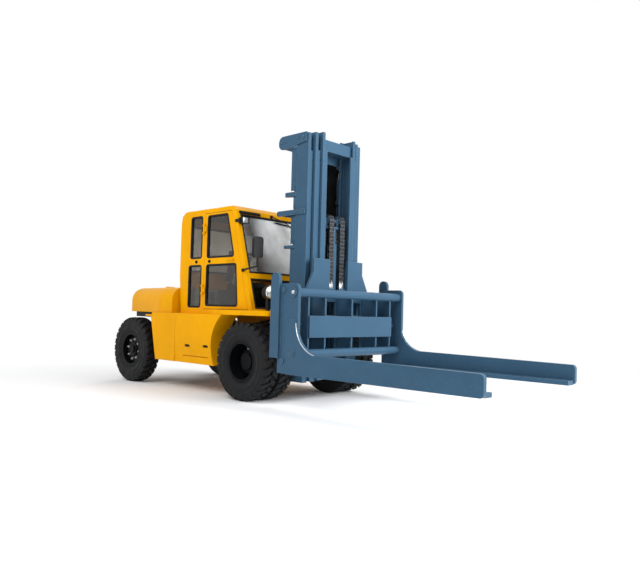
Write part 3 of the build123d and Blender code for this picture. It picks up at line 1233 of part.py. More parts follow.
def carriage_rollers():
    """Roller brackets behind the back plate, with their rollers in the inner rails."""
    bracket_x = (INNER_CHANNEL_X[0] + 20, CARRIAGE_X[0])
    half = block(bracket_x, (185, INNER_FLANGE_Y - 7), (ROLLER_ZS[0] - 60, ROLLER_ZS[1] + 80))
    for z in ROLLER_ZS:
        half += roller(INNER_CHANNEL_X, (INNER_FLANGE_Y - 8, INNER_WEB_Y[0] - 6), z)
    return pair(half)


def positioner_barrels():
    """Barrels of the two cylinders that slide the arms."""
    y = (RIB_YS[1] + RIB_T / 2, RIB_YS[2] - RIB_T / 2)
    barrel = rod_y(POSITIONER_R, POSITIONER_X, POSITIONER_Z, y)
    bore_y = (y[0] + 15, y[1] + 1)
    return pair(barrel - rod_y(POSITIONER_ROD_R + PIN_GAP, POSITIONER_X, POSITIONER_Z, bore_y))


def carriage_plate():
    """Back plate with flared uprights, windows and chain anchors."""
    edge = (
        # half width, height, from the middle out and down
        (0, CHAIN_FRONT_Z - 60),
        (UPRIGHT_Y[0], CHAIN_FRONT_Z - 60),
        (UPRIGHT_Y[0], UPRIGHT_TOP_Z),
        (UPRIGHT_Y[1], UPRIGHT_TOP_Z),
        (UPRIGHT_Y[1], FLARE_Z[1]),
        (FLARE_Y, FLARE_Z[0]),
        (FLARE_Y, CARRIAGE_Z[1]),
        (CARRIAGE_Y, CARRIAGE_Z[1]),
        (CARRIAGE_Y, CARRIAGE_Z[0]),
        (0, CARRIAGE_Z[0]),
    )
    half = front_plate(outline(*edge), CARRIAGE_X)
    for window_y in PLATE_WINDOWS_Y:
        for window_z in PLATE_WINDOWS_Z:
            half -= block((CARRIAGE_X[0] - 1, CARRIAGE_X[1] + 1), window_y, window_z)
    plate = half + other_side(half)
    chain_x = SHEAVE_X + SHEAVE_R + CHAIN_T / 2
    anchor_y = (CHAIN_Y[0] - 5, CHAIN_Y[1] + 5)
    anchor = block((chain_x - 22, CARRIAGE_X[0] + 5), anchor_y, (CHAIN_FRONT_Z - 120, CHAIN_FRONT_Z))
    return plate + anchor + other_side(anchor)


def carriage_shafts():
    """Upper and lower shafts that the arms slide on."""
    reach = ARM_Y[1] + 5
    upper = rod_y(UPPER_SHAFT_R, SHAFT_X, UPPER_SHAFT_Z, (-reach, reach))
    lower = rod_y(LOWER_SHAFT_R, SHAFT_X, LOWER_SHAFT_Z, (-reach, reach))
    return Compound([*upper.solids(), *lower.solids()])


def shield_plate():
    """Plate across the front of the carriage ribs."""
    x = (RIB_FRONT_X, RIB_FRONT_X + SHIELD_T)
    return block(x, (-SHIELD_HALF_Y, SHIELD_HALF_Y), SHIELD_Z)


def arm():
    """Left lifting arm: shank, long blade with its heel curve, inward flange and tall hanger."""
    tip_low = ARM_BOTTOM_Z + ARM_TIP_R
    tip_high = ARM_BLADE_TOP_Z - ARM_TIP_R
    bend = ARM_TIP_R * (1 - cos(pi / 4))
    blade = outline(
        (HEEL_REAR_X, ARM_BOTTOM_Z),
        (ARM_TIP_X - ARM_TIP_R, ARM_BOTTOM_Z),
        ((ARM_TIP_X - bend, ARM_BOTTOM_Z + bend), (ARM_TIP_X, tip_low)),
        (ARM_TIP_X, tip_high),
        ((ARM_TIP_X - bend, ARM_BLADE_TOP_Z - bend), (ARM_TIP_X - ARM_TIP_R, ARM_BLADE_TOP_Z)),
        HEEL_START,
        (HEEL_BOW, HEEL_END),
        HEEL_NOSE,
        (HEEL_REAR_X, HEEL_REAR_Z),
    )
    shank = block(ARM_SHANK_X, (ARM_Y[0], ARM_SHANK_Y), (ARM_BOTTOM_Z + 5, ARM_SHANK_TOP_Z))
    shank = fillet(shank.edges().filter_by(Axis.Y).group_by(Axis.Z)[-1], ARM_TOP_R)
    hanger_r = (HANGER_X[1] - HANGER_X[0]) / 2
    hanger = outline(
        (HANGER_X[0], HANGER_Z[0]),
        (HANGER_X[1], HANGER_Z[0]),
        (HANGER_X[1], HANGER_Z[1] - hanger_r),
        ((HANGER_X[0] + hanger_r, HANGER_Z[1]), (HANGER_X[0], HANGER_Z[1] - hanger_r)),
    )
    piece = side_plate(blade, ARM_Y) + shank
    piece += side_plate(hanger, (ARM_SHANK_Y - 2, ARM_SHANK_Y + HANGER_T))
    flange_y = (ARM_FLANGE_Y, ARM_Y[0] + 1)
    piece += block((ARM_FLANGE_X, ARM_TIP_X - 20), flange_y, (ARM_BOTTOM_Z, ARM_BOTTOM_Z + ARM_FLANGE_T))
    for x, z in ARM_PINS:
        piece += rod_y(ARM_PIN_R, x, z, (ARM_SHANK_Y - 1, ARM_SHANK_Y + ARM_PIN_REACH))
    span = (ARM_Y[0] - 1, ARM_Y[1] + 20)
    piece -= rod_y(UPPER_SHAFT_R + PIN_GAP, SHAFT_X, UPPER_SHAFT_Z, span)
    piece -= rod_y(LOWER_SHAFT_R + PIN_GAP, SHAFT_X, LOWER_SHAFT_Z, span)
    rod_start = RIB_YS[2] - 160
    piece += rod_y(POSITIONER_ROD_R, POSITIONER_X, POSITIONER_Z, (rod_start, ARM_Y[0] + 1))
    return piece


# Tilt cylinders
TILT_LENGTH = hypot(TILT_HEAD_X - TILT_ANCHOR_X, TILT_HEAD_Z - TILT_ANCHOR_Z)
TILT_ANGLE = degrees(atan2(TILT_HEAD_Z - TILT_ANCHOR_Z, TILT_HEAD_X - TILT_ANCHOR_X))
TILT_PLACE = Pos(TILT_ANCHOR_X, TILT_Y, TILT_ANCHOR_Z) * Rot(0, -TILT_ANGLE, 0)


def tilt_barrels():
    """Barrels pinned to the frame, bored for their rods."""
    eye_y = (-TILT_EYE_HALF, TILT_EYE_HALF)
    barrel = rod_x(TILT_BARREL_R, 0, 0, (90, 640))
    barrel += rod_y(TILT_EYE_R - 7, 0, 0, eye_y)
    barrel += block((0, 95), eye_y, (-32, 32))
    barrel -= rod_y(TILT_PIN_R + PIN_GAP, 0, 0, (eye_y[0] - 1, eye_y[1] + 1))
    barrel -= rod_x(TILT_ROD_R + PIN_GAP, 0, 0, (140, 641))
    return pair(TILT_PLACE * barrel)


def tilt_rods():
    """Rods with open eyes at the mast."""
    eye_y = (-TILT_EYE_HALF, TILT_EYE_HALF)
    rod = rod_x(TILT_ROD_R, 0, 0, (330, TILT_LENGTH - 40))
    rod += rod_y(TILT_EYE_R, TILT_LENGTH, 0, eye_y)
    rod -= rod_y(TILT_PIN_R + TILT_EYE_DRIFT, TILT_LENGTH, 0, (eye_y[0] - 1, eye_y[1] + 1))
    return pair(TILT_PLACE * rod)


def main():
    """Build every node and write it."""
    os.makedirs("parts", exist_ok=True)
    drive_tyres, drive_rim_pair = drive_wheel()
    steer_tyre, steer_rim_one = steer_wheel()
    sided = {
        "side_tank": side_tank(),
        "drive_tyres": drive_tyres,
        "drive_rims": drive_rim_pair,
        "steer_tyre": steer_tyre,
        "steer_rim": steer_rim_one,
        "knuckle": knuckle(),
        "door": door(),
        "door_glass": door_glass(),
        "arm": arm(),
    }
    for name, shape in sided.items():
        save(f"left_{name}", shape)
        save(f"right_{name}", other_side(shape))
    middle = (MIDDLE_X, MIDDLE_WEB_Y, MIDDLE_FLANGE_Y, MIDDLE_TONGUE_Y)
    inner = (INNER_X, INNER_WEB_Y, INNER_FLANGE_Y, INNER_TONGUE_Y)
    single = {
        "frame": frame(),
        "drive_axle": drive_axle(),
        "steer_axle": steer_axle(),
        "engine_block": engine_block(),
        "counterweight": counterweight(),
        "rear_grille": rear_grille(),
        "front_fenders": pair(fender()),
        "engine_covers": pair(engine_cover()),
        "hood_lid": hood_lid(),
        "cab_floor": cab_floor(),
        "cab_sides": pair(cab_side()),
        "cab_rear_wall": cab_rear_wall(),
        "cab_roof": cab_roof(),
        "cab_front": cab_front(),
        "cab_glazing": cab_glazing(),
        "seat": seat(),
        "steering_column": steering_column(),
        "mirrors": pair(mirror_unit()),
        "lamps": pair(lamps()),
        "outer_rails": outer_rails(),
        "outer_ties": outer_ties(),
        "lift_barrels": lift_barrels(),
        "middle_rails": stage_rails(*middle, MIDDLE_Z, OUTER_CHANNEL_X),
        "middle_ties": middle_ties(),
        "lift_rods": lift_rods(),
        "inner_rails": stage_rails(*inner, INNER_Z, MIDDLE_CHANNEL_X),
        "inner_ties": inner_ties(),
        "free_lift_barrel": free_lift_barrel(),
        "crosshead": crosshead(),
        "chain_wraps": chain_wraps(),
        "front_chains": chain_run(SHEAVE_X + SHEAVE_R + CHAIN_T / 2, (CHAIN_FRONT_Z, SHEAVE_Z)),
        "rear_chains": chain_run(SHEAVE_X - SHEAVE_R - CHAIN_T / 2, (CHAIN_REAR_Z, SHEAVE_Z)),
        "carriage_plate": carriage_plate(),
        "carriage_ribs": carriage_ribs(),
        "carriage_rollers": carriage_rollers(),
        "positioner_barrels": positioner_barrels(),
        "carriage_shafts": carriage_shafts(),
        "shield_plate": shield_plate(),
        "tilt_barrels": tilt_barrels(),
        "tilt_rods": tilt_rods(),
    }
    for name, shape in single.items():
        save(name, shape)


main()
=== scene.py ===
"""Looks of a diesel forklift with a three-stage mast and two long lifting arms."""

import json
import logging
import math
from dataclasses import dataclass
from enum import Enum
from typing import Iterable, Sequence

import bmesh
import bpy
from mathutils import Matrix, Quaternion, Vector


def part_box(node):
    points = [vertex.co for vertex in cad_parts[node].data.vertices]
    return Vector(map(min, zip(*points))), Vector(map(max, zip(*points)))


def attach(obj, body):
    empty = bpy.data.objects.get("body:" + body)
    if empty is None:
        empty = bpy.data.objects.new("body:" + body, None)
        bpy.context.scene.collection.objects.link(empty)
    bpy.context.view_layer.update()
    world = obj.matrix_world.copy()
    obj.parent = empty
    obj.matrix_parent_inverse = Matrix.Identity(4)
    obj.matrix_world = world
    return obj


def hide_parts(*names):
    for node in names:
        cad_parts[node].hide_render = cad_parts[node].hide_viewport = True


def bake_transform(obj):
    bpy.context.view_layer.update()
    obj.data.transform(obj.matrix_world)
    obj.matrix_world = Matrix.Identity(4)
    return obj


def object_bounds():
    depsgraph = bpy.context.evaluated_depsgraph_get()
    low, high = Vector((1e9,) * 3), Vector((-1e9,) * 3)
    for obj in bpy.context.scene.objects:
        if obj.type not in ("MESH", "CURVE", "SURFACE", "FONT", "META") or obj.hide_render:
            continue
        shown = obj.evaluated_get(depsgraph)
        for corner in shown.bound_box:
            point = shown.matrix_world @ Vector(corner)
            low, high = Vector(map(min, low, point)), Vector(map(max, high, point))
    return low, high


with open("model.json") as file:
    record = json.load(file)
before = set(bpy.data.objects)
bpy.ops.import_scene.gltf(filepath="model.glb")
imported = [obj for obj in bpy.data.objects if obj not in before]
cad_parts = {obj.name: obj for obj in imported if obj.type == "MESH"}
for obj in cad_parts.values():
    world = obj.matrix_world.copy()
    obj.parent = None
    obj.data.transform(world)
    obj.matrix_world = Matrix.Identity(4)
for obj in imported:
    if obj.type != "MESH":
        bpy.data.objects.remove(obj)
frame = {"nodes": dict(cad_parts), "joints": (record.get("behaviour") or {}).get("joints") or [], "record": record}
CAD_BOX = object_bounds()

log = logging.getLogger("forklift")

MM = 0.001
IMAGE_WIDTH = 640
SMOOTH_DEG = 35.0
WHITE = "#FFFFFF"
CHASSIS = "chassis"
ORIGIN = (0, 0, 0)
X_AXIS = (1, 0, 0)
Y_AXIS = (0, 1, 0)
Z_AXIS = (0, 0, 1)
JOINT_PLACE = {joint["child"]: Vector(joint["pos_m"]) for joint in frame["joints"] if "pos_m" in joint}

Colour = tuple[float, float, float, float]
Point = Sequence[float]
Span = tuple[float, float]
Triple = tuple[float, float, float]
Block = tuple[Span, Span, Span, float]  # ends along X, Y and Z, and the edges' radius
BMesh = bmesh.types.BMesh
Mesh = bpy.types.Mesh
Object = bpy.types.Object
Tree = bpy.types.NodeTree
Socket = bpy.types.NodeSocket


class Side(Enum):
    """The two sides of the truck, by the sign of Y."""

    LEFT = 1
    RIGHT = -1

    @property
    def word(self) -> str:
        """The side's name as the nodes spell it."""
        return self.name.lower()

    @property
    def out(self) -> Point:
        """The direction away from the truck's middle."""
        return 0, self.value, 0


class Slot(Enum):
    """The record's material slots."""

    BODY = "body_paint"
    MAST = "mast_paint"
    DARK = "dark_paint"
    ENGINE = "engine_iron"
    GLASS = "window_glass"
    SEAT = "seat_vinyl"
    PLASTIC = "black_plastic"
    LAMP = "lamp_housing"
    TYRE = "tyre_rubber"
    RIM = "rim_paint"
    ROD = "rod_chrome"
    CHAIN = "chain_steel"


def linear(code: str) -> Colour:
    """Turn an sRGB hex code into a linear colour.

    Args:
        code: Six hex digits with a leading hash.

    Returns:
        Red, green, blue and an alpha of one.
    """
    parts = [int(code[i:i + 2], 16) / 255 for i in (1, 3, 5)]
    red, green, blue = [p / 12.92 if p <= 0.04045 else ((p + 0.055) / 1.055) ** 2.4 for p in parts]
    return red, green, blue, 1.0


def toned(colour: Colour, factor: float, lift: float = 0.0) -> Colour:
    """The colour made darker or paler."""
    red, green, blue = [min(1.0, part * factor + lift) for part in colour[:3]]
    return red, green, blue, 1.0


def per_metre(millimetres: float) -> float:
    """Pattern scale on Object coordinates for a feature of that size."""
    return 1.0 / (millimetres * MM)


def add(tree: Tree, kind: str, inputs: dict | Sequence = (), out: int | str = 0,
        **settings: object) -> Socket | None:
    """Add a node with its settings, input values and links.

    Args:
        tree: Node tree that gets the node.
        kind: Blender's name of the node type.
        inputs: Values or sockets, in order or by input name or number.
        out: Which output to give back.
        settings: Properties of the node.

    Returns:
        One of the node's outputs, or none where it has none.
    """
    made = tree.nodes.new(kind)
    for name, value in settings.items():
        setattr(made, name, value)
    for name, value in inputs.items() if isinstance(inputs, dict) else enumerate(inputs):
        if isinstance(value, Socket):
            tree.links.new(value, made.inputs[name])
        else:
            made.inputs[name].default_value = value
    return made.outputs[out] if len(made.outputs) else None


def blotches(tree: Tree, size_mm: float, detail: float, edge: Span, share: Span = (0.0, 1.0)) -> Socket:
    """Cloudy patches of a real size.

    Args:
        tree: The material's node tree.
        size_mm: Width of a patch.
        detail: Octaves of finer cloud.
        edge: Noise level at which a patch starts and at which it is full.
        share: Value outside and inside the patches.

    Returns:
        The patches' value.
    """
    spot = add(tree, "ShaderNodeTexCoord", out="Object")
    cloud = add(tree, "ShaderNodeTexNoise", {"Vector": spot, "Scale": per_metre(size_mm), "Detail": detail})
    return add(tree, "ShaderNodeMapRange", (cloud, *edge, *share))


def relief(tree: Tree, size_mm: float, detail: float, strength: float, depth: float = MM,
           **under: Socket) -> Socket:
    """Fine bumps of a real size.

    Args:
        tree: The material's node tree.
        size_mm: Width of a bump.
        detail: Octaves of finer bumps.
        strength: How much of the depth shows.
        depth: Height of a bump.
        under: The normal that the bumps lie on, if it isn't the mesh's own.

    Returns:
        The new normal.
    """
    spot = add(tree, "ShaderNodeTexCoord", out="Object")
    bumps = add(tree, "ShaderNodeTexNoise", {"Vector": spot, "Scale": per_metre(size_mm), "Detail": detail})
    return add(tree, "ShaderNodeBump", {"Strength": strength, "Distance": depth, "Height": bumps, **under})


@dataclass(frozen=True)
class Finish:
    """A real surface and how it takes light."""

    name: str
    colour: str

    def material(self) -> bpy.types.Material:
        """The finish as a material, made on first use.

        Returns:
            The material.
        """
        found = bpy.data.materials.get(self.name)
        if found:
            return found
        made = bpy.data.materials.new(self.name)
        made.use_nodes = True
        tree = made.node_tree
        tree.nodes.clear()
        shader = add(tree, "ShaderNodeBsdfPrincipled", self.sockets(tree))
        add(tree, "ShaderNodeOutputMaterial", [self.cover(tree, shader)])
        return made

    def sockets(self, tree: Tree) -> dict:
        """What the principled shader gets, by input name."""
        return {"Base Color": linear(self.colour)}

    def cover(self, tree: Tree, shader: Socket) -> Socket:
        """The shader with what lies over it, which is nothing on most finishes."""
        return shader


@dataclass(frozen=True)
class StovedEnamel(Finish):
    """Sprayed and baked enamel on steel plate: clean, a little wavy, with edges painted lighter as a highlight,
    with a little wear.
    """

    # pale edge colour: painted highlight along the edges, with a little wear
    worn: str = WHITE
    dust: str = "#8A8070"
    roughness: float = 0.32
    coat: float = 0.35
    shine: float = 0.5
    edge_mm: float = 6.0
    peel_mm: float = 3.0
    cloud_mm: float = 420.0
    speck_mm: float = 35.0
    dust_z: Span = (0.25, 0.9)
    dust_share: float = 0.22
    wear: float = 0.35

    def sockets(self, tree: Tree) -> dict:
        """Paint with faint clouds, road dust low down, edges painted lighter as a highlight with a little wear,
        and orange peel.

        Args:
            tree: The material's node tree.

        Returns:
            The principled shader's inputs.
        """
        base = linear(self.colour)
        clouds = blotches(tree, self.cloud_mm, 4.0, (0.3, 0.7))
        paint = add(tree, "ShaderNodeMix", {0: clouds, 6: base, 7: toned(base, 0.88)}, 2, data_type="RGBA")
        spot = add(tree, "ShaderNodeTexCoord", out="Object")
        height = add(tree, "ShaderNodeSeparateXYZ", [spot], "Z")
        low = add(tree, "ShaderNodeMapRange", (height, *self.dust_z, self.dust_share, 0.0))
        specks = blotches(tree, self.speck_mm, 8.0, (0.48, 0.72))
        dusty = add(tree, "ShaderNodeMath", (low, specks), operation="MULTIPLY")
        paint = add(tree, "ShaderNodeMix", {0: dusty, 6: paint, 7: linear(self.dust)}, 2, data_type="RGBA")
        # edges turn towards the pale edge colour: painted highlight, with a little wear
        rounded = add(tree, "ShaderNodeBevel", {"Radius": self.edge_mm * MM}, samples=4)
        plain = add(tree, "ShaderNodeNewGeometry", out="Normal")
        turn = add(tree, "ShaderNodeVectorMath", (rounded, plain), "Value", operation="DOT_PRODUCT")
        edge = add(tree, "ShaderNodeMapRange", (turn, 0.985, 0.75, 0.0, self.wear))
        shades = {0: edge, 6: paint, 7: linear(self.worn)}
        rough = (self.roughness, self.roughness + 0.35)
        return {
            "Base Color": add(tree, "ShaderNodeMix", shades, 2, data_type="RGBA"),
            "Roughness": add(tree, "ShaderNodeMapRange", (dusty, 0.0, 0.6, *rough)),
            "Normal": relief(tree, self.peel_mm, 2.0, 0.04, Normal=rounded),
            "Specular IOR Level": self.shine,
            "Specular Tint": base,
            "Coat Weight": self.coat,
            "Coat Roughness": 0.15,
        }


@dataclass(frozen=True)
class TyreRubber(Finish):
    """Moulded rubber: matt black with a grey bloom and dust in the pores."""

    bloom: str = "#1D1E20"
    shine: float = 0.25
    bloom_mm: float = 90.0
    pore_mm: float = 6.0  # coarser than real pores, so that they show

    def sockets(self, tree: Tree) -> dict:
        """Black with a cloudy bloom, fine pores and a dry shine.

        Args:
            tree: The material's node tree.

        Returns:
            The principled shader's inputs.
        """
        clouds = blotches(tree, self.bloom_mm, 6.0, (0.42, 0.75), (0.0, 0.55))
        shades = {0: clouds, 6: linear(self.colour), 7: linear(self.bloom)}
        return {
            "Base Color": add(tree, "ShaderNodeMix", shades, 2, data_type="RGBA"),
            "Normal": relief(tree, self.pore_mm, 6.0, 0.25),
            "Roughness": add(tree, "ShaderNodeMapRange", (clouds, 0.0, 0.5, 0.62, 0.85)),
            "Specular IOR Level": self.shine,
        }


@dataclass(frozen=True)
class SafetyGlass(Finish):
    """Toughened float glass with a bronze body tint, and a pale rough mirror layer on the raked screen that paints
    the sky's reflection there.
    """

    roughness: float = 0.01
    clear_colour: str = "#DDE2E4"
    shine: float = 0.25
    smear_mm: float = 160.0
    # pale rough mirror layer and where it lies: painted reflection of the sky on the raked screen
    film_colour: str = "#F2F5F7"
    film_share: float = 0.72
    film_rough: float = 0.42
    film_z: Span = (1.70, 1.72)
    film_y: Span = (-0.64, -0.38)
    film_mm: float = 420.0
    rake_deg: float = 16.2

    def sockets(self, tree: Tree) -> dict:
        """Clear and glossy, with smears that dull it a little.

        Args:
            tree: The material's node tree.

        Returns:
            The principled shader's inputs.
        """
        smear = (self.roughness, self.roughness + 0.06)
        return {
            "Base Color": linear(self.colour),
            "Specular IOR Level": self.shine,
            "Transmission Weight": 1.0,
            "IOR": 1.45,
            "Roughness": blotches(tree, self.smear_mm, 6.0, (0.4, 0.8), smear),
        }

    def cover(self, tree: Tree, shader: Socket) -> Socket:
        """A pale rough mirror layer that paints the sky's reflection, and light let through for shadows.

        Args:
            tree: The material's node tree.
            shader: The glass.

        Returns:
            The glass with its film.
        """
        film = add(tree, "ShaderNodeBsdfPrincipled", {
            "Base Color": linear(self.film_colour), "Metallic": 1.0, "Roughness": self.film_rough})
        # the mirror layer paints the sky's reflection
        lit = add(tree, "ShaderNodeMixShader", (self._film(tree), shader, film))
        clear = add(tree, "ShaderNodeBsdfTransparent", [linear(self.clear_colour)])
        shadow = add(tree, "ShaderNodeLightPath", out="Is Shadow Ray")
        return add(tree, "ShaderNodeMixShader", (shadow, lit, clear))

    def _film(self, tree: Tree) -> Socket:
        """How much painted sky reflection the pane has: only on the raked upper screen, fading across it, thinner
        in cloudy patches.

        Args:
            tree: The material's node tree.

        Returns:
            The painted reflection's share.
        """
        lean = math.radians(self.rake_deg)
        normal = add(tree, "ShaderNodeNewGeometry", out="True Normal")
        ahead = (math.cos(lean), 0.0, math.sin(lean))
        facing = add(tree, "ShaderNodeVectorMath", (normal, ahead), "Value", operation="DOT_PRODUCT")
        share = add(tree, "ShaderNodeMapRange", (facing, 0.93, 0.98))
        spot = add(tree, "ShaderNodeTexCoord", out="Object")
        height = add(tree, "ShaderNodeSeparateXYZ", [spot], "Z")
        station = add(tree, "ShaderNodeSeparateXYZ", [spot], "Y")
        upper = add(tree, "ShaderNodeMapRange", (height, *self.film_z))
        across = add(tree, "ShaderNodeMapRange", (station, *self.film_y, 0.25, 1.0))
        cloudy = blotches(tree, self.film_mm, 3.0, (0.35, 0.65), (self.film_share * 0.55, self.film_share))
        for part in (upper, across, cloudy):
            share = add(tree, "ShaderNodeMath", (share, part), operation="MULTIPLY")
        return share


@dataclass(frozen=True)
class Metal(Finish):
    """Bare metal, turned, rolled or plated, with the film of oil or rust that it carries."""

    film: str = "#3B362F"
    roughness: float = 0.3
    film_share: float = 0.4
    grain_mm: float = 14.0

    def sockets(self, tree: Tree) -> dict:
        """Metal that is duller and darker where the film lies.

        Args:
            tree: The material's node tree.

        Returns:
            The principled shader's inputs.
        """
        patch = blotches(tree, self.grain_mm, 6.0, (0.4, 0.7), (0.0, self.film_share))
        shades = {0: patch, 6: linear(self.colour), 7: linear(self.film)}
        rough = (self.roughness, self.roughness + 0.35)
        return {
            "Base Color": add(tree, "ShaderNodeMix", shades, 2, data_type="RGBA"),
            "Roughness": add(tree, "ShaderNodeMapRange", (patch, 0.0, 1.0, *rough)),
            "Metallic": 1.0,
        }


@dataclass(frozen=True)
class Moulded(Finish):
    """Injection moulded plastic or rubber with a fine spark-eroded texture."""

    roughness: float = 0.45
    shine: float = 0.2
    cloud_mm: float = 120.0
    grain_mm: float = 2.5  # coarser than the real texture, so that it shows
    grain: float = 0.15

    def sockets(self, tree: Tree) -> dict:
        """Even colour that greys a little in clouds, with a fine grain.

        Args:
            tree: The material's node tree.

        Returns:
            The principled shader's inputs.
        """
        base = linear(self.colour)
        clouds = blotches(tree, self.cloud_mm, 4.0, (0.45, 0.75), (0.0, 0.5))
        shades = {0: clouds, 6: base, 7: toned(base, 1.8, 0.01)}
        return {
            "Base Color": add(tree, "ShaderNodeMix", shades, 2, data_type="RGBA"),
            "Normal": relief(tree, self.grain_mm, 3.0, self.grain, 0.5 * MM),
            "Roughness": self.roughness,
            "Specular IOR Level": self.shine,
        }


@dataclass(frozen=True)
class GrainedVinyl(Finish):
    """Calendered vinyl with pressed leather cells, a soft sheen and lighter ridges."""

    cell_mm: float = 5.0  # coarser than real cells, so that they show

    def sockets(self, tree: Tree) -> dict:
        """Cells as coarse as they need to show, raised between fine creases.

        Args:
            tree: The material's node tree.

        Returns:
            The principled shader's inputs.
        """
        base = linear(self.colour)
        spot = add(tree, "ShaderNodeTexCoord", out="Object")
        cells = add(tree, "ShaderNodeTexVoronoi", {
            "Vector": spot, "Scale": per_metre(self.cell_mm)}, "Distance", feature="DISTANCE_TO_EDGE")
        ridge = add(tree, "ShaderNodeMapRange", (cells, 0.0, 0.12))
        shades = {0: ridge, 6: base, 7: toned(base, 1.5)}
        return {
            "Base Color": add(tree, "ShaderNodeMix", shades, 2, data_type="RGBA"),
            "Normal": add(tree, "ShaderNodeBump", {"Strength": 0.3, "Distance": MM, "Height": ridge}),
            "Roughness": 0.5,
        }


@dataclass(frozen=True)
class LampLens(Finish):
    """Pressed glass over a bright reflector, seen as a pale fluted disc."""

    flute_mm: float = 9.0
    waves_per_scale: float = 20.0  # what the wave node itself multiplies by

    def sockets(self, tree: Tree) -> dict:
        """Pale, glossy and fluted upright.

        Args:
            tree: The material's node tree.

        Returns:
            The principled shader's inputs.
        """
        spot = add(tree, "ShaderNodeTexCoord", out="Object")
        flutes = add(tree, "ShaderNodeTexWave", {
            "Vector": spot, "Scale": per_metre(self.flute_mm) / self.waves_per_scale},
            "Fac", wave_type="BANDS", bands_direction="Y")
        return {
            "Base Color": linear(self.colour),
            "Normal": add(tree, "ShaderNodeBump", {"Strength": 0.5, "Distance": 2 * MM, "Height": flutes}),
            "Roughness": 0.12,
            "Metallic": 0.55,
            "Coat Weight": 1.0,
        }


class Palette(Enum):
    """Every finish on the truck. The classes say what each gives the eye."""

    # the pale edge colours paint the highlight along the edges, with a little wear
    BODY = StovedEnamel("stoved_enamel_amber", "#F0A800", worn="#FFDF80", wear=0.2, coat=0.0, shine=0.08,
                        roughness=0.4, dust="#B0873A")
    MAST = StovedEnamel("stoved_enamel_slate_blue", "#3B5A72", worn="#B9CBDD", roughness=0.42, coat=0.05,
                        edge_mm=5.0, wear=0.55, shine=0.3, dust="#5E6B75")
    DARK = StovedEnamel("chassis_enamel_charcoal", "#26282B", worn="#5A5D61", roughness=0.5, coat=0.0)
    RIM = StovedEnamel("wheel_enamel_black", "#0E0F11", worn="#55585C", roughness=0.5, coat=0.0, shine=0.25,
                       dust="#2A2825")
    ENGINE = StovedEnamel("cast_iron_painted_grey", "#3A3D40", worn="#707478", roughness=0.6, coat=0.0,
                          peel_mm=5.0)
    TYRE = TyreRubber("tyre_rubber_black", "#0B0C0E")
    GLASS = SafetyGlass("toughened_glass_bronze", "#AAA69D")
    CHROME = Metal("hard_chrome_rod", "#E4E6E8", film="#A8A49C", roughness=0.08, film_share=0.2)
    CHAIN = Metal("oiled_chain_steel", "#55575A", film="#1E1B18", roughness=0.38, film_share=0.8)
    ZINC = Metal("zinc_plated_steel", "#C9CBC8", film="#8A8678", roughness=0.32, film_share=0.3)
    STEEL = Metal("ground_pin_steel", "#D5D9DD", film="#7A756C", roughness=0.25, film_share=0.25)
    MIRROR = Metal("silvered_mirror_glass", "#EEF1F2", film="#DCE0E1", roughness=0.03, film_share=0.1)
    PLASTIC = Moulded("moulded_abs_black", "#0D0E10")
    GREY = Moulded("moulded_polypropylene_grey", "#8A939B", roughness=0.55)
    SEAL = Moulded("epdm_seal_black", "#121315", roughness=0.6)
    VINYL = GrainedVinyl("grained_vinyl_charcoal", "#26272A")
    LENS = LampLens("pressed_lamp_glass", "#D2D6D6")
    AMBER = LampLens("amber_lamp_lens", "#F08A12")
    RED = LampLens("red_lamp_lens", "#B9180F")

    @property
    def material(self) -> bpy.types.Material:
        """The finish's material."""
        return self.value.material()


# Slots whose finish has another name
SLOT_FINISH = {Slot.SEAT: Palette.VINYL, Slot.LAMP: Palette.PLASTIC, Slot.ROD: Palette.CHROME}


def about(middle: float, half: float) -> Span:
    """The two ends of a stretch with that middle."""
    return middle - half, middle + half


def circle(radius: float, steps: int) -> list[Span]:
    """Points of a circle, or its middle alone where the radius is zero."""
    angles = [math.tau * i / steps for i in range(steps if radius > 0 else 1)]
    return [(radius * math.cos(a), radius * math.sin(a)) for a in angles]


def skin(mesh: BMesh, rings: Iterable[Iterable[Point]], closed: bool = False, capped: bool = False) -> None:
    """Join rings of points by faces.

    Args:
        mesh: Mesh that gets the faces.
        rings: Points of each ring, as many in each. A ring of one point is a tip.
        closed: Whether the last ring joins the first.
        capped: Whether a face closes the first and the last ring.
    """
    made = [[mesh.verts.new(point) for point in ring] for ring in rings]
    steps = max(len(ring) for ring in made)
    for one, two in zip(made, made[1:] + made[:1] if closed else made[1:]):
        for i in range(steps):
            corners = [ring[k % len(ring)] for ring, k in ((one, i), (one, i + 1), (two, i + 1), (two, i))]
            unique = list(dict.fromkeys(corners))
            if len(unique) > 2:
                mesh.faces.new(unique)
    if capped:
        mesh.faces.new(made[0][::-1])
        mesh.faces.new(made[-1])


def box(mesh: BMesh, x: Span, y: Span, z: Span, bevel: float, segments: int = 2,
        place: Matrix = Matrix()) -> None:
    """Add a box with rounded edges.

    Args:
        mesh: Mesh that gets the box.
        x: Its two ends along X.
        y: Its two ends along Y.
        z: Its two ends along Z.
        bevel: Edge radius.
        segments: Faces across the radius.
        place: Where the finished box is moved.
    """
    low, high = [Vector(corner) for corner in zip(x, y, z)]
    shape = Matrix.Translation((low + high) / 2) @ Matrix.Diagonal((*(high - low), 1.0))
    corners = bmesh.ops.create_cube(mesh, size=1.0, matrix=shape)["verts"]
    edges = list({edge for vert in corners for edge in vert.link_edges})
    cut = bmesh.ops.bevel(mesh, geom=edges, offset=bevel, segments=segments, profile=0.5, affect="EDGES")
    bmesh.ops.transform(mesh, matrix=place, verts=cut["verts"])


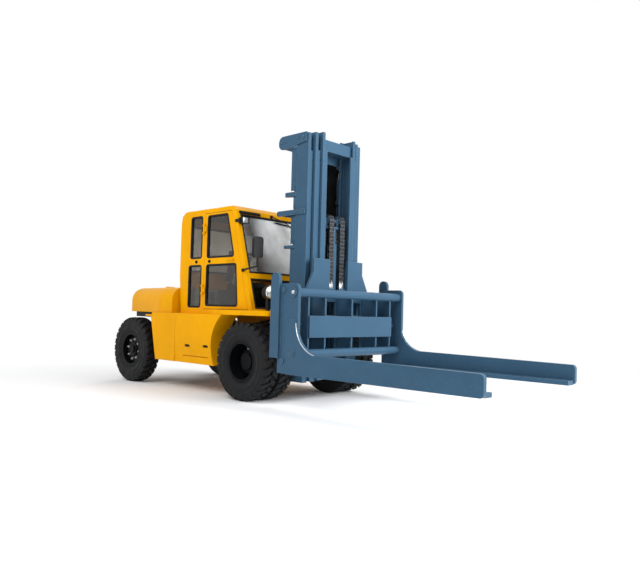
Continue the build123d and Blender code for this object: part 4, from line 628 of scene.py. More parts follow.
def twin_box(mesh: BMesh, x: Span, y: Span, z: Span, bevel: float, segments: int = 2) -> None:
    """Add a rounded box on each side of the truck.

    Args:
        mesh: Mesh that gets the boxes.
        x: Their two ends along X.
        y: The left one's two ends along Y.
        z: Their two ends along Z.
        bevel: Edge radius.
        segments: Faces across the radius.
    """
    for side in Side:
        near, far = sorted(side.value * edge for edge in y)
        box(mesh, x, (near, far), z, bevel, segments)


def lathe(mesh: BMesh, profile: Sequence[Span], centre: Point, axis: Point, steps: int = 32,
          closed: bool = False) -> None:
    """Turn a profile about an axis.

    Args:
        mesh: Mesh that gets the turned shape.
        profile: Radius and station of each point. A radius of zero closes the shape on the axis.
        centre: Where station zero lies.
        axis: Direction of growing stations.
        steps: Faces round the axis.
        closed: Whether the last point joins the first.
    """
    turn = Vector(Z_AXIS).rotation_difference(Vector(axis).normalized()).to_matrix().to_4x4()
    place = Matrix.Translation(Vector(centre)) @ turn
    rings = [[place @ Vector((*spot, station)) for spot in circle(r, steps)] for r, station in profile]
    skin(mesh, rings, closed)


def tube(mesh: BMesh, path: Sequence[Point], radius: float, sides: int = 8) -> None:
    """Sweep a round section along a path, with closed ends.

    Args:
        mesh: Mesh that gets the tube.
        path: Points of the centre line.
        radius: Half the tube's diameter.
        sides: Faces round the tube.
    """
    points = [Vector(p) for p in path]
    normal = (points[1] - points[0]).orthogonal()
    rings = []
    for i, here in enumerate(points):
        ahead = (points[min(i + 1, len(points) - 1)] - points[max(i - 1, 0)]).normalized()
        normal = (normal - ahead * normal.dot(ahead)).normalized()
        across = ahead.cross(normal)
        rings.append([here + normal * u + across * v for u, v in circle(radius, sides)])
    skin(mesh, rings, capped=True)


def arc(centre: Vector, start: Vector, end: Vector, steps: int) -> list[Vector]:
    """Points on the short arc between two points about a centre.

    Args:
        centre: Middle of the arc.
        start: First point.
        end: Last point.
        steps: Spans along the arc.

    Returns:
        The points, both ends among them.
    """
    turn = (start - centre).rotation_difference(end - centre)
    return [centre + Quaternion().slerp(turn, i / steps) @ (start - centre) for i in range(steps + 1)]


def flat(mesh: BMesh) -> Mesh:
    """Turn a mesh into data with its faces outwards.

    Args:
        mesh: Finished mesh, which is freed.

    Returns:
        The mesh data.
    """
    bmesh.ops.recalc_face_normals(mesh, faces=mesh.faces)
    data = bpy.data.meshes.new("mesh")
    mesh.to_mesh(data)
    mesh.free()
    return data


def mirrored(data: Mesh) -> Mesh:
    """Add a copy on the other side of the truck.

    Args:
        data: Mesh data of one side, which is used up.

    Returns:
        Mesh data of both sides.
    """
    whole = bmesh.new()
    whole.from_mesh(data)
    data.transform(Matrix.Diagonal((1, -1, 1, 1)))
    whole.from_mesh(data)
    return flat(whole)


def put(name: str, data: bpy.types.ID) -> Object:
    """Link data to the scene as an object at the origin.

    Args:
        name: The object's name.
        data: Its mesh, light or camera.

    Returns:
        The linked object.
    """
    made = bpy.data.objects.new(name, data)
    bpy.context.scene.collection.objects.link(made)
    return made


def worked_in(item: Object) -> Mesh:
    """The object's mesh with its modifiers worked in."""
    graph = bpy.context.evaluated_depsgraph_get()
    return bpy.data.meshes.new_from_object(item.evaluated_get(graph))


def shaded(name: str, mesh: BMesh | Mesh, finish: Palette, smooth_deg: float) -> Object:
    """Turn a finished mesh into a shaded object at the origin.

    Args:
        name: The piece's name.
        mesh: Its mesh in the truck's frame.
        finish: What it is made of.
        smooth_deg: Edges that turn less than this are shaded smooth.

    Returns:
        The linked object.
    """
    data = mesh if isinstance(mesh, Mesh) else flat(mesh)
    data.name = name
    data.polygons.foreach_set("use_smooth", [True] * len(data.polygons))
    data.set_sharp_from_angle(angle=math.radians(smooth_deg))
    data.materials.clear()
    data.materials.append(finish.material)
    return put(name, data)


def fit(name: str, mesh: BMesh | Mesh, finish: Palette, body: str = CHASSIS,
        replaced: Sequence[str] = (), smooth_deg: float = SMOOTH_DEG) -> Object:
    """Make a piece, set it on its body and report it.

    Args:
        name: The piece's name.
        mesh: Its mesh in the truck's frame.
        finish: What it is made of.
        body: Body that carries it.
        replaced: Nodes that it stands for.
        smooth_deg: Edges that turn less than this are shaded smooth.

    Returns:
        The finished object.
    """
    piece = shaded(name, mesh, finish, smooth_deg)
    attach(piece, body)
    if replaced:
        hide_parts(*replaced)
    log.info("%s rides on %s, %d faces", piece.name, body, len(piece.data.polygons))
    return piece


class Pattern(Enum):
    """Ways to repeat a small unit, each with the inputs of its geometry node tree."""

    RING = {"Count": "Int", "Step Angle": "Float", "Start Angle": "Float"}
    ROW = {"Count": "Int", "Step": "Vector"}
    SPOTS = {"Aim": "String"}

    def tree(self) -> Tree:
        """The tree for this way of setting out, made on first use.

        Returns:
            A node tree with named inputs.
        """
        name = f"{self.name.lower()}_of_units"
        if name in bpy.data.node_groups:
            return bpy.data.node_groups[name]
        made = bpy.data.node_groups.new(name, "GeometryNodeTree")
        inputs = {"Geometry": "Geometry", "Unit": "Object", "Finish": "Material", **self.value}
        for socket, kind in inputs.items():
            made.interface.new_socket(socket, in_out="INPUT", socket_type=f"NodeSocket{kind}")
        made.interface.new_socket("Geometry", in_out="OUTPUT", socket_type="NodeSocketGeometry")
        given = {socket: add(made, "NodeGroupInput", out=socket) for socket in inputs}
        unit = add(made, "GeometryNodeObjectInfo", {"Object": given["Unit"]}, "Geometry")
        spread = add(made, "GeometryNodeInstanceOnPoints", {"Instance": unit, **self._places(made, given)})
        solid = add(made, "GeometryNodeRealizeInstances", {"Geometry": spread})
        dressed = add(made, "GeometryNodeSetMaterial", {"Geometry": solid, "Material": given["Finish"]})
        add(made, "NodeGroupOutput", [dressed])
        return made

    def _places(self, tree: Tree, given: dict[str, Socket]) -> dict[str, Socket]:
        """Where the units go and how they turn.

        Args:
            tree: The pattern's tree.
            given: The tree's inputs by name.

        Returns:
            Points and rotation for the instances.
        """
        number = add(tree, "GeometryNodeInputIndex")
        if self is Pattern.RING:
            angle = add(tree, "ShaderNodeMath", (number, given["Step Angle"], given["Start Angle"]),
                        operation="MULTIPLY_ADD")
            euler = add(tree, "ShaderNodeCombineXYZ", {"Y": angle})
            return {"Points": add(tree, "GeometryNodePoints", {"Count": given["Count"]}),
                    "Rotation": add(tree, "FunctionNodeEulerToRotation", [euler])}
        if self is Pattern.ROW:
            away = add(tree, "ShaderNodeVectorMath", {0: given["Step"], "Scale": number}, operation="SCALE")
            return {"Points": add(tree, "GeometryNodePoints", {"Count": given["Count"], "Position": away})}
        aim = add(tree, "GeometryNodeInputNamedAttribute", {"Name": given["Aim"]}, data_type="FLOAT_VECTOR")
        return {"Points": add(tree, "GeometryNodeMeshToPoints", {"Mesh": given["Geometry"]}),
                "Rotation": add(tree, "FunctionNodeAlignRotationToVector", {"Vector": aim}, axis="Z")}

    def grow(self, unit: BMesh, finish: Palette, base: Mesh | None = None, **values: object) -> Mesh:
        """Repeat a unit and give the result as a plain mesh.

        Args:
            unit: Mesh of one unit, which is freed.
            finish: What it is made of.
            base: Points for the unit, where the pattern needs them.
            values: Inputs of the tree, with underscores for spaces.

        Returns:
            The repeated mesh.
        """
        pattern = put("unit", flat(unit))
        holder = put("holder", base or bpy.data.meshes.new("holder"))
        modifier = holder.modifiers.new("pattern", "NODES")
        modifier.node_group = self.tree()
        given = {"Unit": pattern, "Finish": finish.material}
        given.update({name.replace("_", " "): value for name, value in values.items()})
        for socket in modifier.node_group.interface.items_tree:
            if socket.in_out == "INPUT" and socket.name in given:
                modifier[socket.identifier] = given[socket.name]
        holder.update_tag()
        made = worked_in(holder)
        for item in (pattern, holder):
            bpy.data.objects.remove(item)
        return made

    @classmethod
    def set_on(cls, unit: BMesh, finish: Palette, places: Sequence[tuple[Point, Point]]) -> Mesh:
        """Set a unit at places, each turned from Z to its own direction.

        Args:
            unit: Mesh of one unit, which is freed.
            finish: What it is made of.
            places: Position and direction of each unit.

        Returns:
            The repeated mesh.
        """
        spots = bpy.data.meshes.new("spots")
        spots.from_pydata([tuple(p) for p, _ in places], [], [])
        aim = spots.attributes.new("aim", "FLOAT_VECTOR", "POINT")
        aim.data.foreach_set("vector", [c for _, d in places for c in d])
        return cls.SPOTS.grow(unit, finish, spots, Aim=aim.name)


@dataclass
class Studio:
    """Floor, light and the camera that stands where the photograph was taken."""

    focal_px: float = 650.24
    eye: Triple = (6.539, -6.487, 1.189)
    yaw_deg: float = 43.70
    pitch_deg: float = -2.59
    roll_deg: float = 1.54
    sensor_mm: float = 36.0
    sight: float = 200.0
    floor_half: float = 60.0
    floor_gap: float = 0.2 * MM
    floor_fade: Span = (3.2, 6.5)
    floor_colour: str = "#FAFAFA"
    sky_colour: str = "#F4F7FA"
    sky_strength: float = 0.62
    lamp_aim: Triple = (0.3, 0.0, 1.2)
    lamps: tuple[tuple[str, Triple, float, float], ...] = (
        # name, place, width, watts
        ("key_lamp", (2.0, -9.0, 9.0), 7.0, 670.0),
        ("fill_lamp", (9.0, 3.0, 5.5), 6.0, 1250.0),
        ("back_lamp", (-9.0, 6.0, 8.0), 6.0, 300.0),
    )

    def build(self) -> None:
        """Make the floor, the lamps, the world and the camera."""
        self._floor()
        self._world()
        for name, place, width, watts in self.lamps:
            data = bpy.data.lights.new(name, "AREA")
            data.size = width
            data.energy = watts
            lamp = put(name, data)
            lamp.location = place
            aim = Vector(self.lamp_aim) - Vector(place)
            lamp.rotation_euler = aim.to_track_quat("-Z", "Y").to_euler()
        self._camera()
        bpy.context.scene.view_settings.view_transform = "Standard"

    def _floor(self) -> None:
        """Matt white paint that turns into a white glow further out, so that no horizon shows."""
        half, level = self.floor_half, CAD_BOX[0].z - self.floor_gap
        data = bpy.data.meshes.new("floor")
        corners = ((-half, -half, level), (half, -half, level), (half, half, level), (-half, half, level))
        data.from_pydata(corners, [], [range(4)])
        coat = bpy.data.materials.new("pale_floor")
        coat.use_nodes = True
        tree = coat.node_tree
        tree.nodes.clear()
        spot = add(tree, "ShaderNodeTexCoord", out="Object")
        away = add(tree, "ShaderNodeVectorMath", [spot], "Value", operation="LENGTH")
        share = add(tree, "ShaderNodeMapRange", (away, *self.floor_fade))
        paint = add(tree, "ShaderNodeBsdfDiffuse", [linear(self.floor_colour)])
        glow = add(tree, "ShaderNodeEmission", (linear(WHITE), 1.0))
        both = add(tree, "ShaderNodeMixShader", (share, paint, glow))
        add(tree, "ShaderNodeOutputMaterial", [both])
        data.materials.append(coat)
        put("floor", data)

    def _world(self) -> None:
        """White to the eye, in reflections and through glass, and a soft fill for the rest."""
        world = bpy.data.worlds.new("studio")
        bpy.context.scene.world = world
        world.use_nodes = True
        tree = world.node_tree
        tree.nodes.clear()
        seen = add(tree, "ShaderNodeLightPath", out="Is Camera Ray")
        for kind in ("Is Glossy Ray", "Is Transmission Ray"):
            ray = add(tree, "ShaderNodeLightPath", out=kind)
            seen = add(tree, "ShaderNodeMath", (seen, ray), operation="MAXIMUM")
        soft = add(tree, "ShaderNodeBackground", (linear(self.sky_colour), self.sky_strength))
        plain = add(tree, "ShaderNodeBackground", (linear(WHITE), 1.0))
        both = add(tree, "ShaderNodeMixShader", (seen, soft, plain))
        add(tree, "ShaderNodeOutputWorld", [both])

    def _camera(self) -> None:
        """A camera with the photograph's own view."""
        yaw, pitch, roll = [math.radians(a) for a in (self.yaw_deg, self.pitch_deg, self.roll_deg)]
        back = Vector((math.sin(yaw) * math.cos(pitch), -math.cos(yaw) * math.cos(pitch), math.sin(pitch)))
        right = Vector((math.cos(yaw), math.sin(yaw), 0))
        up = back.cross(right)
        turned = math.cos(roll) * right + math.sin(roll) * up
        upright = -math.sin(roll) * right + math.cos(roll) * up
        data = bpy.data.cameras.new("camera")
        data.sensor_width = self.sensor_mm
        data.lens = self.focal_px / IMAGE_WIDTH * self.sensor_mm
        data.clip_end = self.sight
        camera = put("camera", data)
        axes = Matrix((turned, upright, back)).transposed().to_4x4()
        camera.matrix_world = Matrix.Translation(Vector(self.eye)) @ axes
        bpy.context.scene.camera = camera


class Coats:
    """Dresses every node that stays in view with the finish of its slot."""

    def build(self) -> None:
        """Give each node its material."""
        slots = {row["node"]: Slot(row["material_slot"]) for row in frame["record"]["subparts"]}
        for name, node in frame["nodes"].items():
            finish = SLOT_FINISH.get(slots[name]) or Palette[slots[name].name]
            node.data.materials.clear()
            node.data.materials.append(finish.material)
        log.info("%d nodes dressed", len(slots))


@dataclass
class Tyre:
    """Industrial lug tyre, drawn about the Y axis at the origin."""

    outer_r: float = 0.509
    width: float = 0.250
    bead_r: float = 0.2545
    groove: float = 0.024
    lugs: int = 28
    lug_width: float = 0.082
    lug_skew_deg: float = 7.0
    lug_start: float = 0.008
    steps: int = 96
    wall: tuple[Span, ...] = (
        # rise over the bead, distance from the widest point
        (0.0, 0.034), (0.012, 0.026), (0.022, 0.0125), (0.030, 0.011), (0.034, 0.0155), (0.060, 0.0075),
        (0.090, 0.0025), (0.094, 0.0005), (0.100, 0.0005), (0.104, 0.0025), (0.135, 0.0015), (0.160, 0.0030),
        (0.164, 0.0012), (0.172, 0.0012), (0.176, 0.0045), (0.200, 0.0080),
    )
    shoulder: tuple[Span, ...] = (
        # drop from the tread's floor, distance from the widest point
        (0.016, 0.0110), (0.004, 0.024), (0.0, 0.045),
    )

    def mesh(self) -> Mesh:
        """Side walls with rim guards and moulded rings, the floor of the tread and the lugs.

        Returns:
            The whole tyre.
        """
        half = self.width / 2
        base = self.outer_r - self.groove
        side = [(self.bead_r + rise, half - inset) for rise, inset in self.wall]
        side += [(base - drop, half - inset) for drop, inset in self.shoulder]
        whole = bmesh.new()
        lathe(whole, side + [(r, -y) for r, y in reversed(side)], ORIGIN, Y_AXIS, self.steps, closed=True)
        pitch = math.tau / self.lugs
        pair = bmesh.new()
        for sign, start in ((1, 0.0), (-1, pitch / 2)):
            self._lug(pair, sign, start)
        lugs = Pattern.RING.grow(pair, Palette.TYRE, Count=self.lugs, Step_Angle=pitch, Start_Angle=0.0)
        whole.from_mesh(lugs)
        return flat(whole)

    def _lug(self, mesh: BMesh, side: int, start: float) -> None:
        """A bar from the tread's middle to its shoulder.

        Args:
            mesh: Mesh that gets the lug.
            side: Sign of Y.
            start: Angle about the axle.
        """
        half, top = self.width / 2, self.outer_r
        foot = top - self.groove - 0.004
        deep = foot - 0.040
        stations = (
            # distance from the middle, foot radius, top radius, share of the full width
            (self.lug_start, foot, top, 0.72),
            (0.050, foot, top, 0.80),
            (half - 0.030, foot, top - 0.001, 1.0),
            (half - 0.012, deep, top - 0.012, 1.08),
            (half - 0.006, deep, top - 0.052, 1.12),
        )
        rings = []
        for reach, low, high, share in stations:
            wide = share * self.lug_width / 2 / top
            lean = start + math.radians(self.lug_skew_deg) * (reach - self.lug_start) / (half - 0.014)
            flank = ((low, wide + 0.006), (high - 0.004, wide), (high, wide - 0.008))
            corners = [(r, lean - a) for r, a in flank] + [(r, lean + a) for r, a in reversed(flank)]
            rings.append([(r * math.sin(a), side * reach, r * math.cos(a)) for r, a in corners])
        skin(mesh, rings, capped=True)


@dataclass
class Wheels:
    """Tyres and wheel nuts at the four corners."""

    tyre: Tyre
    nuts: int = 8
    nut_across: float = 0.027
    nut_height: float = 0.018
    nut_start: float = 0.2
    stud_r: float = 0.008
    steer_nut_r: float = 0.158
    drive_nut_r: float = 0.192
    steer_face: float = 0.048
    drive_face: float = 0.027
    smooth_deg: float = 30.0

    def build(self) -> None:
        """Dress both axles on both sides."""
        shape = self.tyre.mesh()
        for side in Side:
            drive, steer = f"{side.word}_drive_wheels", f"{side.word}_steer_wheel"
            self._tyres(shape, f"{side.word}_drive_tyres", drive, 2)
            self._tyres(shape, f"{side.word}_steer_tyre", steer, 1)
            self._nuts(side, steer, self.steer_nut_r, self.steer_face)
            self._nuts(side, drive, self.drive_nut_r, self.drive_face)

    def _tyres(self, shape: Mesh, node: str, body: str, count: int) -> None:
        """Set one tyre, or twins side by side, in a node's place.

        Args:
            shape: One tyre about the origin.
            node: Node that the tyres stand for.
            body: Body that carries them.
            count: How many tyres the node holds.
        """
        low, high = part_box(node)
        half = self.tyre.width / 2
        whole = bmesh.new()
        for y in (low.y + half, high.y - half)[:count]:
            copy = shape.copy()
            copy.transform(Matrix.Translation((JOINT_PLACE[body].x, y, JOINT_PLACE[body].z)))
            whole.from_mesh(copy)
            bpy.data.meshes.remove(copy)
        fit(f"{node}_lugged", whole, Palette.TYRE, body, [node], self.smooth_deg)

    def _nuts(self, side: Side, body: str, radius: float, face: float) -> None:
        """A ring of wheel nuts with their studs' ends on a disc's outer face.

        Args:
            side: Side of the truck.
            body: Wheel body.
            radius: Half the bolt circle.
            face: How far the disc's face lies outside the wheel's middle.
        """
        corner, high, stud = self.nut_across / math.sqrt(3), self.nut_height, self.stud_r
        unit = bmesh.new()
        nut = [(corner * 1.2, 0), (corner * 1.2, high * 0.15), (corner, high * 0.2), (corner, high * 0.9),
               (corner * 0.8, high)]
        end = [(stud, high), (stud, high * 1.45), (stud * 0.7, high * 1.55), (0, high * 1.55)]
        lathe(unit, nut + end, (0, side.value * face, radius), side.out, 12)
        data = Pattern.RING.grow(unit, Palette.ZINC, Count=self.nuts, Step_Angle=math.tau / self.nuts,
                                 Start_Angle=self.nut_start)
        data.transform(Matrix.Translation(JOINT_PLACE[body]))
        fit(f"{body}_nuts", data, Palette.ZINC, body, smooth_deg=self.smooth_deg)


@dataclass
class Pane:
    """One window pane, read from its node."""

    centre: Vector
    normal: Vector
    loop: list[Vector]

    @classmethod
    def of(cls, node: str, inside: Vector) -> list["Pane"]:
        """The panes of a node, each with the outline of its outer face.

        Args:
            node: Glazing node.
            inside: A point inside the cab.

        Returns:
            One entry for each pane.
        """
        mesh = bmesh.new()
        mesh.from_mesh(frame["nodes"][node].data)
        bmesh.ops.remove_doubles(mesh, verts=mesh.verts, dist=1e-5)
        found, left = [], set(mesh.verts)
        while left:
            island, todo = set(), {next(iter(left))}
            while todo:
                vert = todo.pop()
                island.add(vert)
                todo |= {end for edge in vert.link_edges for end in edge.verts} - island
            left -= island
            faces = {face for vert in island for face in vert.link_faces}
            normal = max(faces, key=lambda face: face.calc_area()).normal.copy()
            if normal.dot(sum((v.co for v in island), Vector()) / len(island) - inside) < 0:
                normal.negate()
            level = max(v.co.dot(normal) for v in island)
            outer = [v.co.copy() for v in island if level - v.co.dot(normal) < 1e-4]
            middle = sum(outer, Vector()) / len(outer)
            along = normal.orthogonal().normalized()
            across = normal.cross(along)
            outer.sort(key=lambda p: math.atan2((p - middle).dot(across), (p - middle).dot(along)))
            found.append(cls(middle, normal, outer))
        mesh.free()
        return sorted(found, key=lambda pane: (
            round(pane.centre.x, 3), round(pane.centre.z, 3), pane.centre.y))

    def offset(self, grow: float, height: float) -> list[Vector]:
        """The outline moved outwards in its plane and along its normal.

        Args:
            grow: Distance outwards, or inwards if negative.
            height: Distance along the normal.

        Returns:
            The moved outline.
        """
        moved = []
        for before, here, after in zip(self.loop[-1:] + self.loop, self.loop, self.loop[1:] + self.loop[:1]):
            coming = (here - before).normalized().cross(self.normal)
            going = (after - here).normalized().cross(self.normal)
            out = (coming + going).normalized()
            if out.dot(here - self.centre) < 0:
                out.negate()
            lengthen = 1 / max(0.5, abs(out.dot(going)))
            moved.append(here + out * grow * lengthen + self.normal * height)
        return moved


@dataclass
class WindowSeals:
    """Black rubber that holds each pane in its opening and laps onto the wall."""

    lap: float = 0.010
    cover: float = 0.020
    recess: float = 0.016
    proud: float = 0.004
    glass_t: float = 0.008
    inside: Triple = (-1.0, 0.0, 1.9)

    def build(self) -> None:
        """Seal the fixed panes and the doors' panes, inside and outside."""
        doors = [(f"{side.word}_door_glass", f"{side.word}_door") for side in Side]
        for node, body in [("cab_glazing", CHASSIS), *doors]:
            mesh = bmesh.new()
            for pane in Pane.of(node, Vector(self.inside)):
                for sign in (1, -1):
                    skin(mesh, [pane.offset(*spot) for spot in self._section(sign)], closed=True)
            fit(f"{node}_seals", mesh, Palette.SEAL, body)

    def _section(self, sign: int) -> list[Span]:
        """The lip's section from the glass up to the wall's face.

        Args:
            sign: One for outside, minus one for inside.

        Returns:
            Distance out from the pane's edge and height over its outer face, for each corner.
        """
        glass = 0.0 if sign > 0 else -self.glass_t
        wall = glass + sign * self.recess
        top = wall + sign * self.proud
        glass += sign * 0.5 * MM
        wall += sign * 0.3 * MM
        return [(-self.cover, glass), (-self.cover + 0.006, top), (self.lap - 0.003, top), (self.lap, wall),
                (-0.6 * MM, wall), (-0.6 * MM, glass)]


@dataclass
class LeafChains:
    """The four runs of leaf chain, their turns over the sheaves and the anchor bolts."""

    pitch: float = 0.0508
    plate_half: float = 0.0135
    plate_waist: float = 0.72
    plate_count: int = 12
    plate_gap: float = 0.4 * MM
    pin_r: float = 0.007
    low_y: float = 0.0605
    high_y: float = 0.1515
    sheave: Span = (0.557, 2.420)
    turn_r: float = 0.070
    front_foot: float = 1.500
    rear_foot: float = 1.300
    anchor_half: Span = (0.017, 0.044)
    anchor_z: Span = (1.496, 1.560)
    anchor_bolt: tuple[Span, ...] = (
        (0.021, 0.0), (0.021, 0.018), (0.013, 0.022), (0.013, 0.052), (0.0, 0.054))
    anchor_bolt_y: float = 0.024
    smooth_deg: float = 30.0

    def build(self) -> None:
        """Lace both pairs of runs and the turns above them."""
        x, z = self.sheave
        self._run("front_chains", x + self.turn_r, self.front_foot, ("carriage", "crosshead"))
        self._run("rear_chains", x - self.turn_r, self.rear_foot, ("inner_mast", "crosshead"))
        data = Pattern.RING.grow(self._links(math.pi / 4), Palette.CHAIN, Count=2, Step_Angle=math.pi / 2,
                                 Start_Angle=-math.pi / 2)
        data.transform(Matrix.Translation((x, 0, z)))
        fit("chain_turns", mirrored(data), Palette.CHAIN, "crosshead", ["chain_wraps"],
            self.smooth_deg)
        self._anchors(x + self.turn_r)

    def _links(self, turn: float) -> BMesh:
        """Two links of interleaved plates with their pins, straight down from the origin or round a sheave.

        Args:
            turn: Angle of each link about the sheave, or zero for a straight run.

        Returns:
            The links of the left chain.
        """
        made = bmesh.new()
        width = self.high_y - self.low_y
        step = width / self.plate_count
        for number in range(self.plate_count):
            y = self.low_y + number * step
            places = (number % 2, number % 2 + 1)
            if turn:
                ends = [Vector((math.sin(n * turn), 0, math.cos(n * turn))) * self.turn_r for n in places]
            else:
                ends = [Vector((0, 0, -n * self.pitch)) for n in places]
            self._plate(made, ends, (y + self.plate_gap, y + step - self.plate_gap))
            if number < 2:
                lathe(made, [(0, 0), (self.pin_r, 0), (self.pin_r, width), (0, width)],
                      ends[1] + Vector((0, self.low_y, 0)), Y_AXIS, 8)
        return made

    def _plate(self, mesh: BMesh, ends: Sequence[Vector], faces: Span, steps: int = 6) -> None:
        """A waisted link plate round two pins.

        Args:
            mesh: Mesh that gets the plate.
            ends: The two pin centres.
            faces: Its near and far face along Y.
            steps: Spans round each end.
        """
        along = (ends[1] - ends[0]).normalized()
        across = along.cross(Vector(Y_AXIS))
        outline = []
        for end, sign in zip(ends, (-1, 1)):
            for k in range(steps + 1):
                angle = math.pi * (k / steps - 0.5)
                spoke = math.cos(angle) * along + math.sin(angle) * across
                outline.append(end + self.plate_half * sign * spoke)
            outline.append((ends[0] + ends[1]) / 2 + across * sign * self.plate_half * self.plate_waist)
        skin(mesh, [[p + Vector((0, y, 0)) for p in outline] for y in faces], capped=True)

    def _run(self, node: str, x: float, foot: float, bodies: tuple[str, str]) -> None:
        """One pair of straight runs, baked in place; the bodies at its ends are only named in the log.

        Args:
            node: Node that the runs stand for.
            x: Station of the run.
            foot: Height of its fixed end.
            bodies: Body at the foot and body at the sheave.
        """
        top = self.sheave[1]
        step = 2 * self.pitch
        data = Pattern.ROW.grow(self._links(0.0), Palette.CHAIN, Count=math.floor((top - foot) / step),
                                Step=(0.0, 0.0, -step))
        data.transform(Matrix.Translation((x, 0, top)))
        piece = shaded(f"{node}_laced", mirrored(data), Palette.CHAIN, self.smooth_deg)
        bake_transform(piece)
        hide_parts(node)
        log.info("%s bends between %s and %s", piece.name, *bodies)

    def _anchors(self, x: float) -> None:
        """Anchor blocks and bright threaded bolts where the front runs meet the carriage.

        Args:
            x: Station of the run.
        """
        blocks, bolts = bmesh.new(), bmesh.new()
        middle = (self.low_y + self.high_y) / 2
        long, wide = self.anchor_half
        twin_box(blocks, about(x, long), about(middle, wide), self.anchor_z, 0.005)
        for side in Side:
            for y in about(side.value * middle, self.anchor_bolt_y):
                lathe(bolts, self.anchor_bolt, (x, y, self.anchor_z[1]), Z_AXIS, 6)
        fit("chain_anchor_blocks", blocks, Palette.STEEL, "carriage")
        fit("chain_anchor_nuts", bolts, Palette.ZINC, "carriage")


@dataclass
class Lamps:
    """Lenses and rims of the head, work and tail lamps."""

    head: Triple = (0.230, 0.800, 1.420)
    head_r: float = 0.0775
    work_x: Span = (-0.351, -0.343)
    work_y: Span = (0.752, 0.836)
    work_z: Span = (2.373, 2.447)
    tail_x: Span = (-3.4798, -3.472)
    tail_y: Span = (0.354, 0.420)
    red_z: Span = (1.145, 1.212)
    amber_z: Span = (1.214, 1.285)
    steps: int = 40

    def build(self) -> None:
        """Fit every lens on both sides."""
        clear, rims, amber, red = [bmesh.new() for _ in range(4)]
        x, y, z = self.head
        r, edge = self.head_r, self.head_r + 0.0135
        lens = [(r, 0.0003), (r * 0.97, 0.004), (r * 0.7, 0.009), (r * 0.35, 0.012), (0, 0.013)]
        rim = [(r + 0.001, 0.002), (r + 0.003, 0.012), (r + 0.011, 0.0125), (edge, 0.008), (edge, -0.004),
               (edge - 0.0008, -0.004), (edge - 0.0008, 0.0095)]
        for side in Side:
            for mesh, profile in ((clear, lens), (rims, rim)):
                lathe(mesh, profile, (x, side.value * y, z), X_AXIS, self.steps)
        twin_box(clear, self.work_x, self.work_y, self.work_z, 0.005)
        twin_box(red, self.tail_x, self.tail_y, self.red_z, 0.0015)
        twin_box(amber, self.tail_x, self.tail_y, self.amber_z, 0.0015)
        fit("lamp_lenses", clear, Palette.LENS)
        fit("lamp_rims", rims, Palette.CHROME)
        fit("turn_lenses", amber, Palette.AMBER)
        fit("tail_lenses", red, Palette.RED)


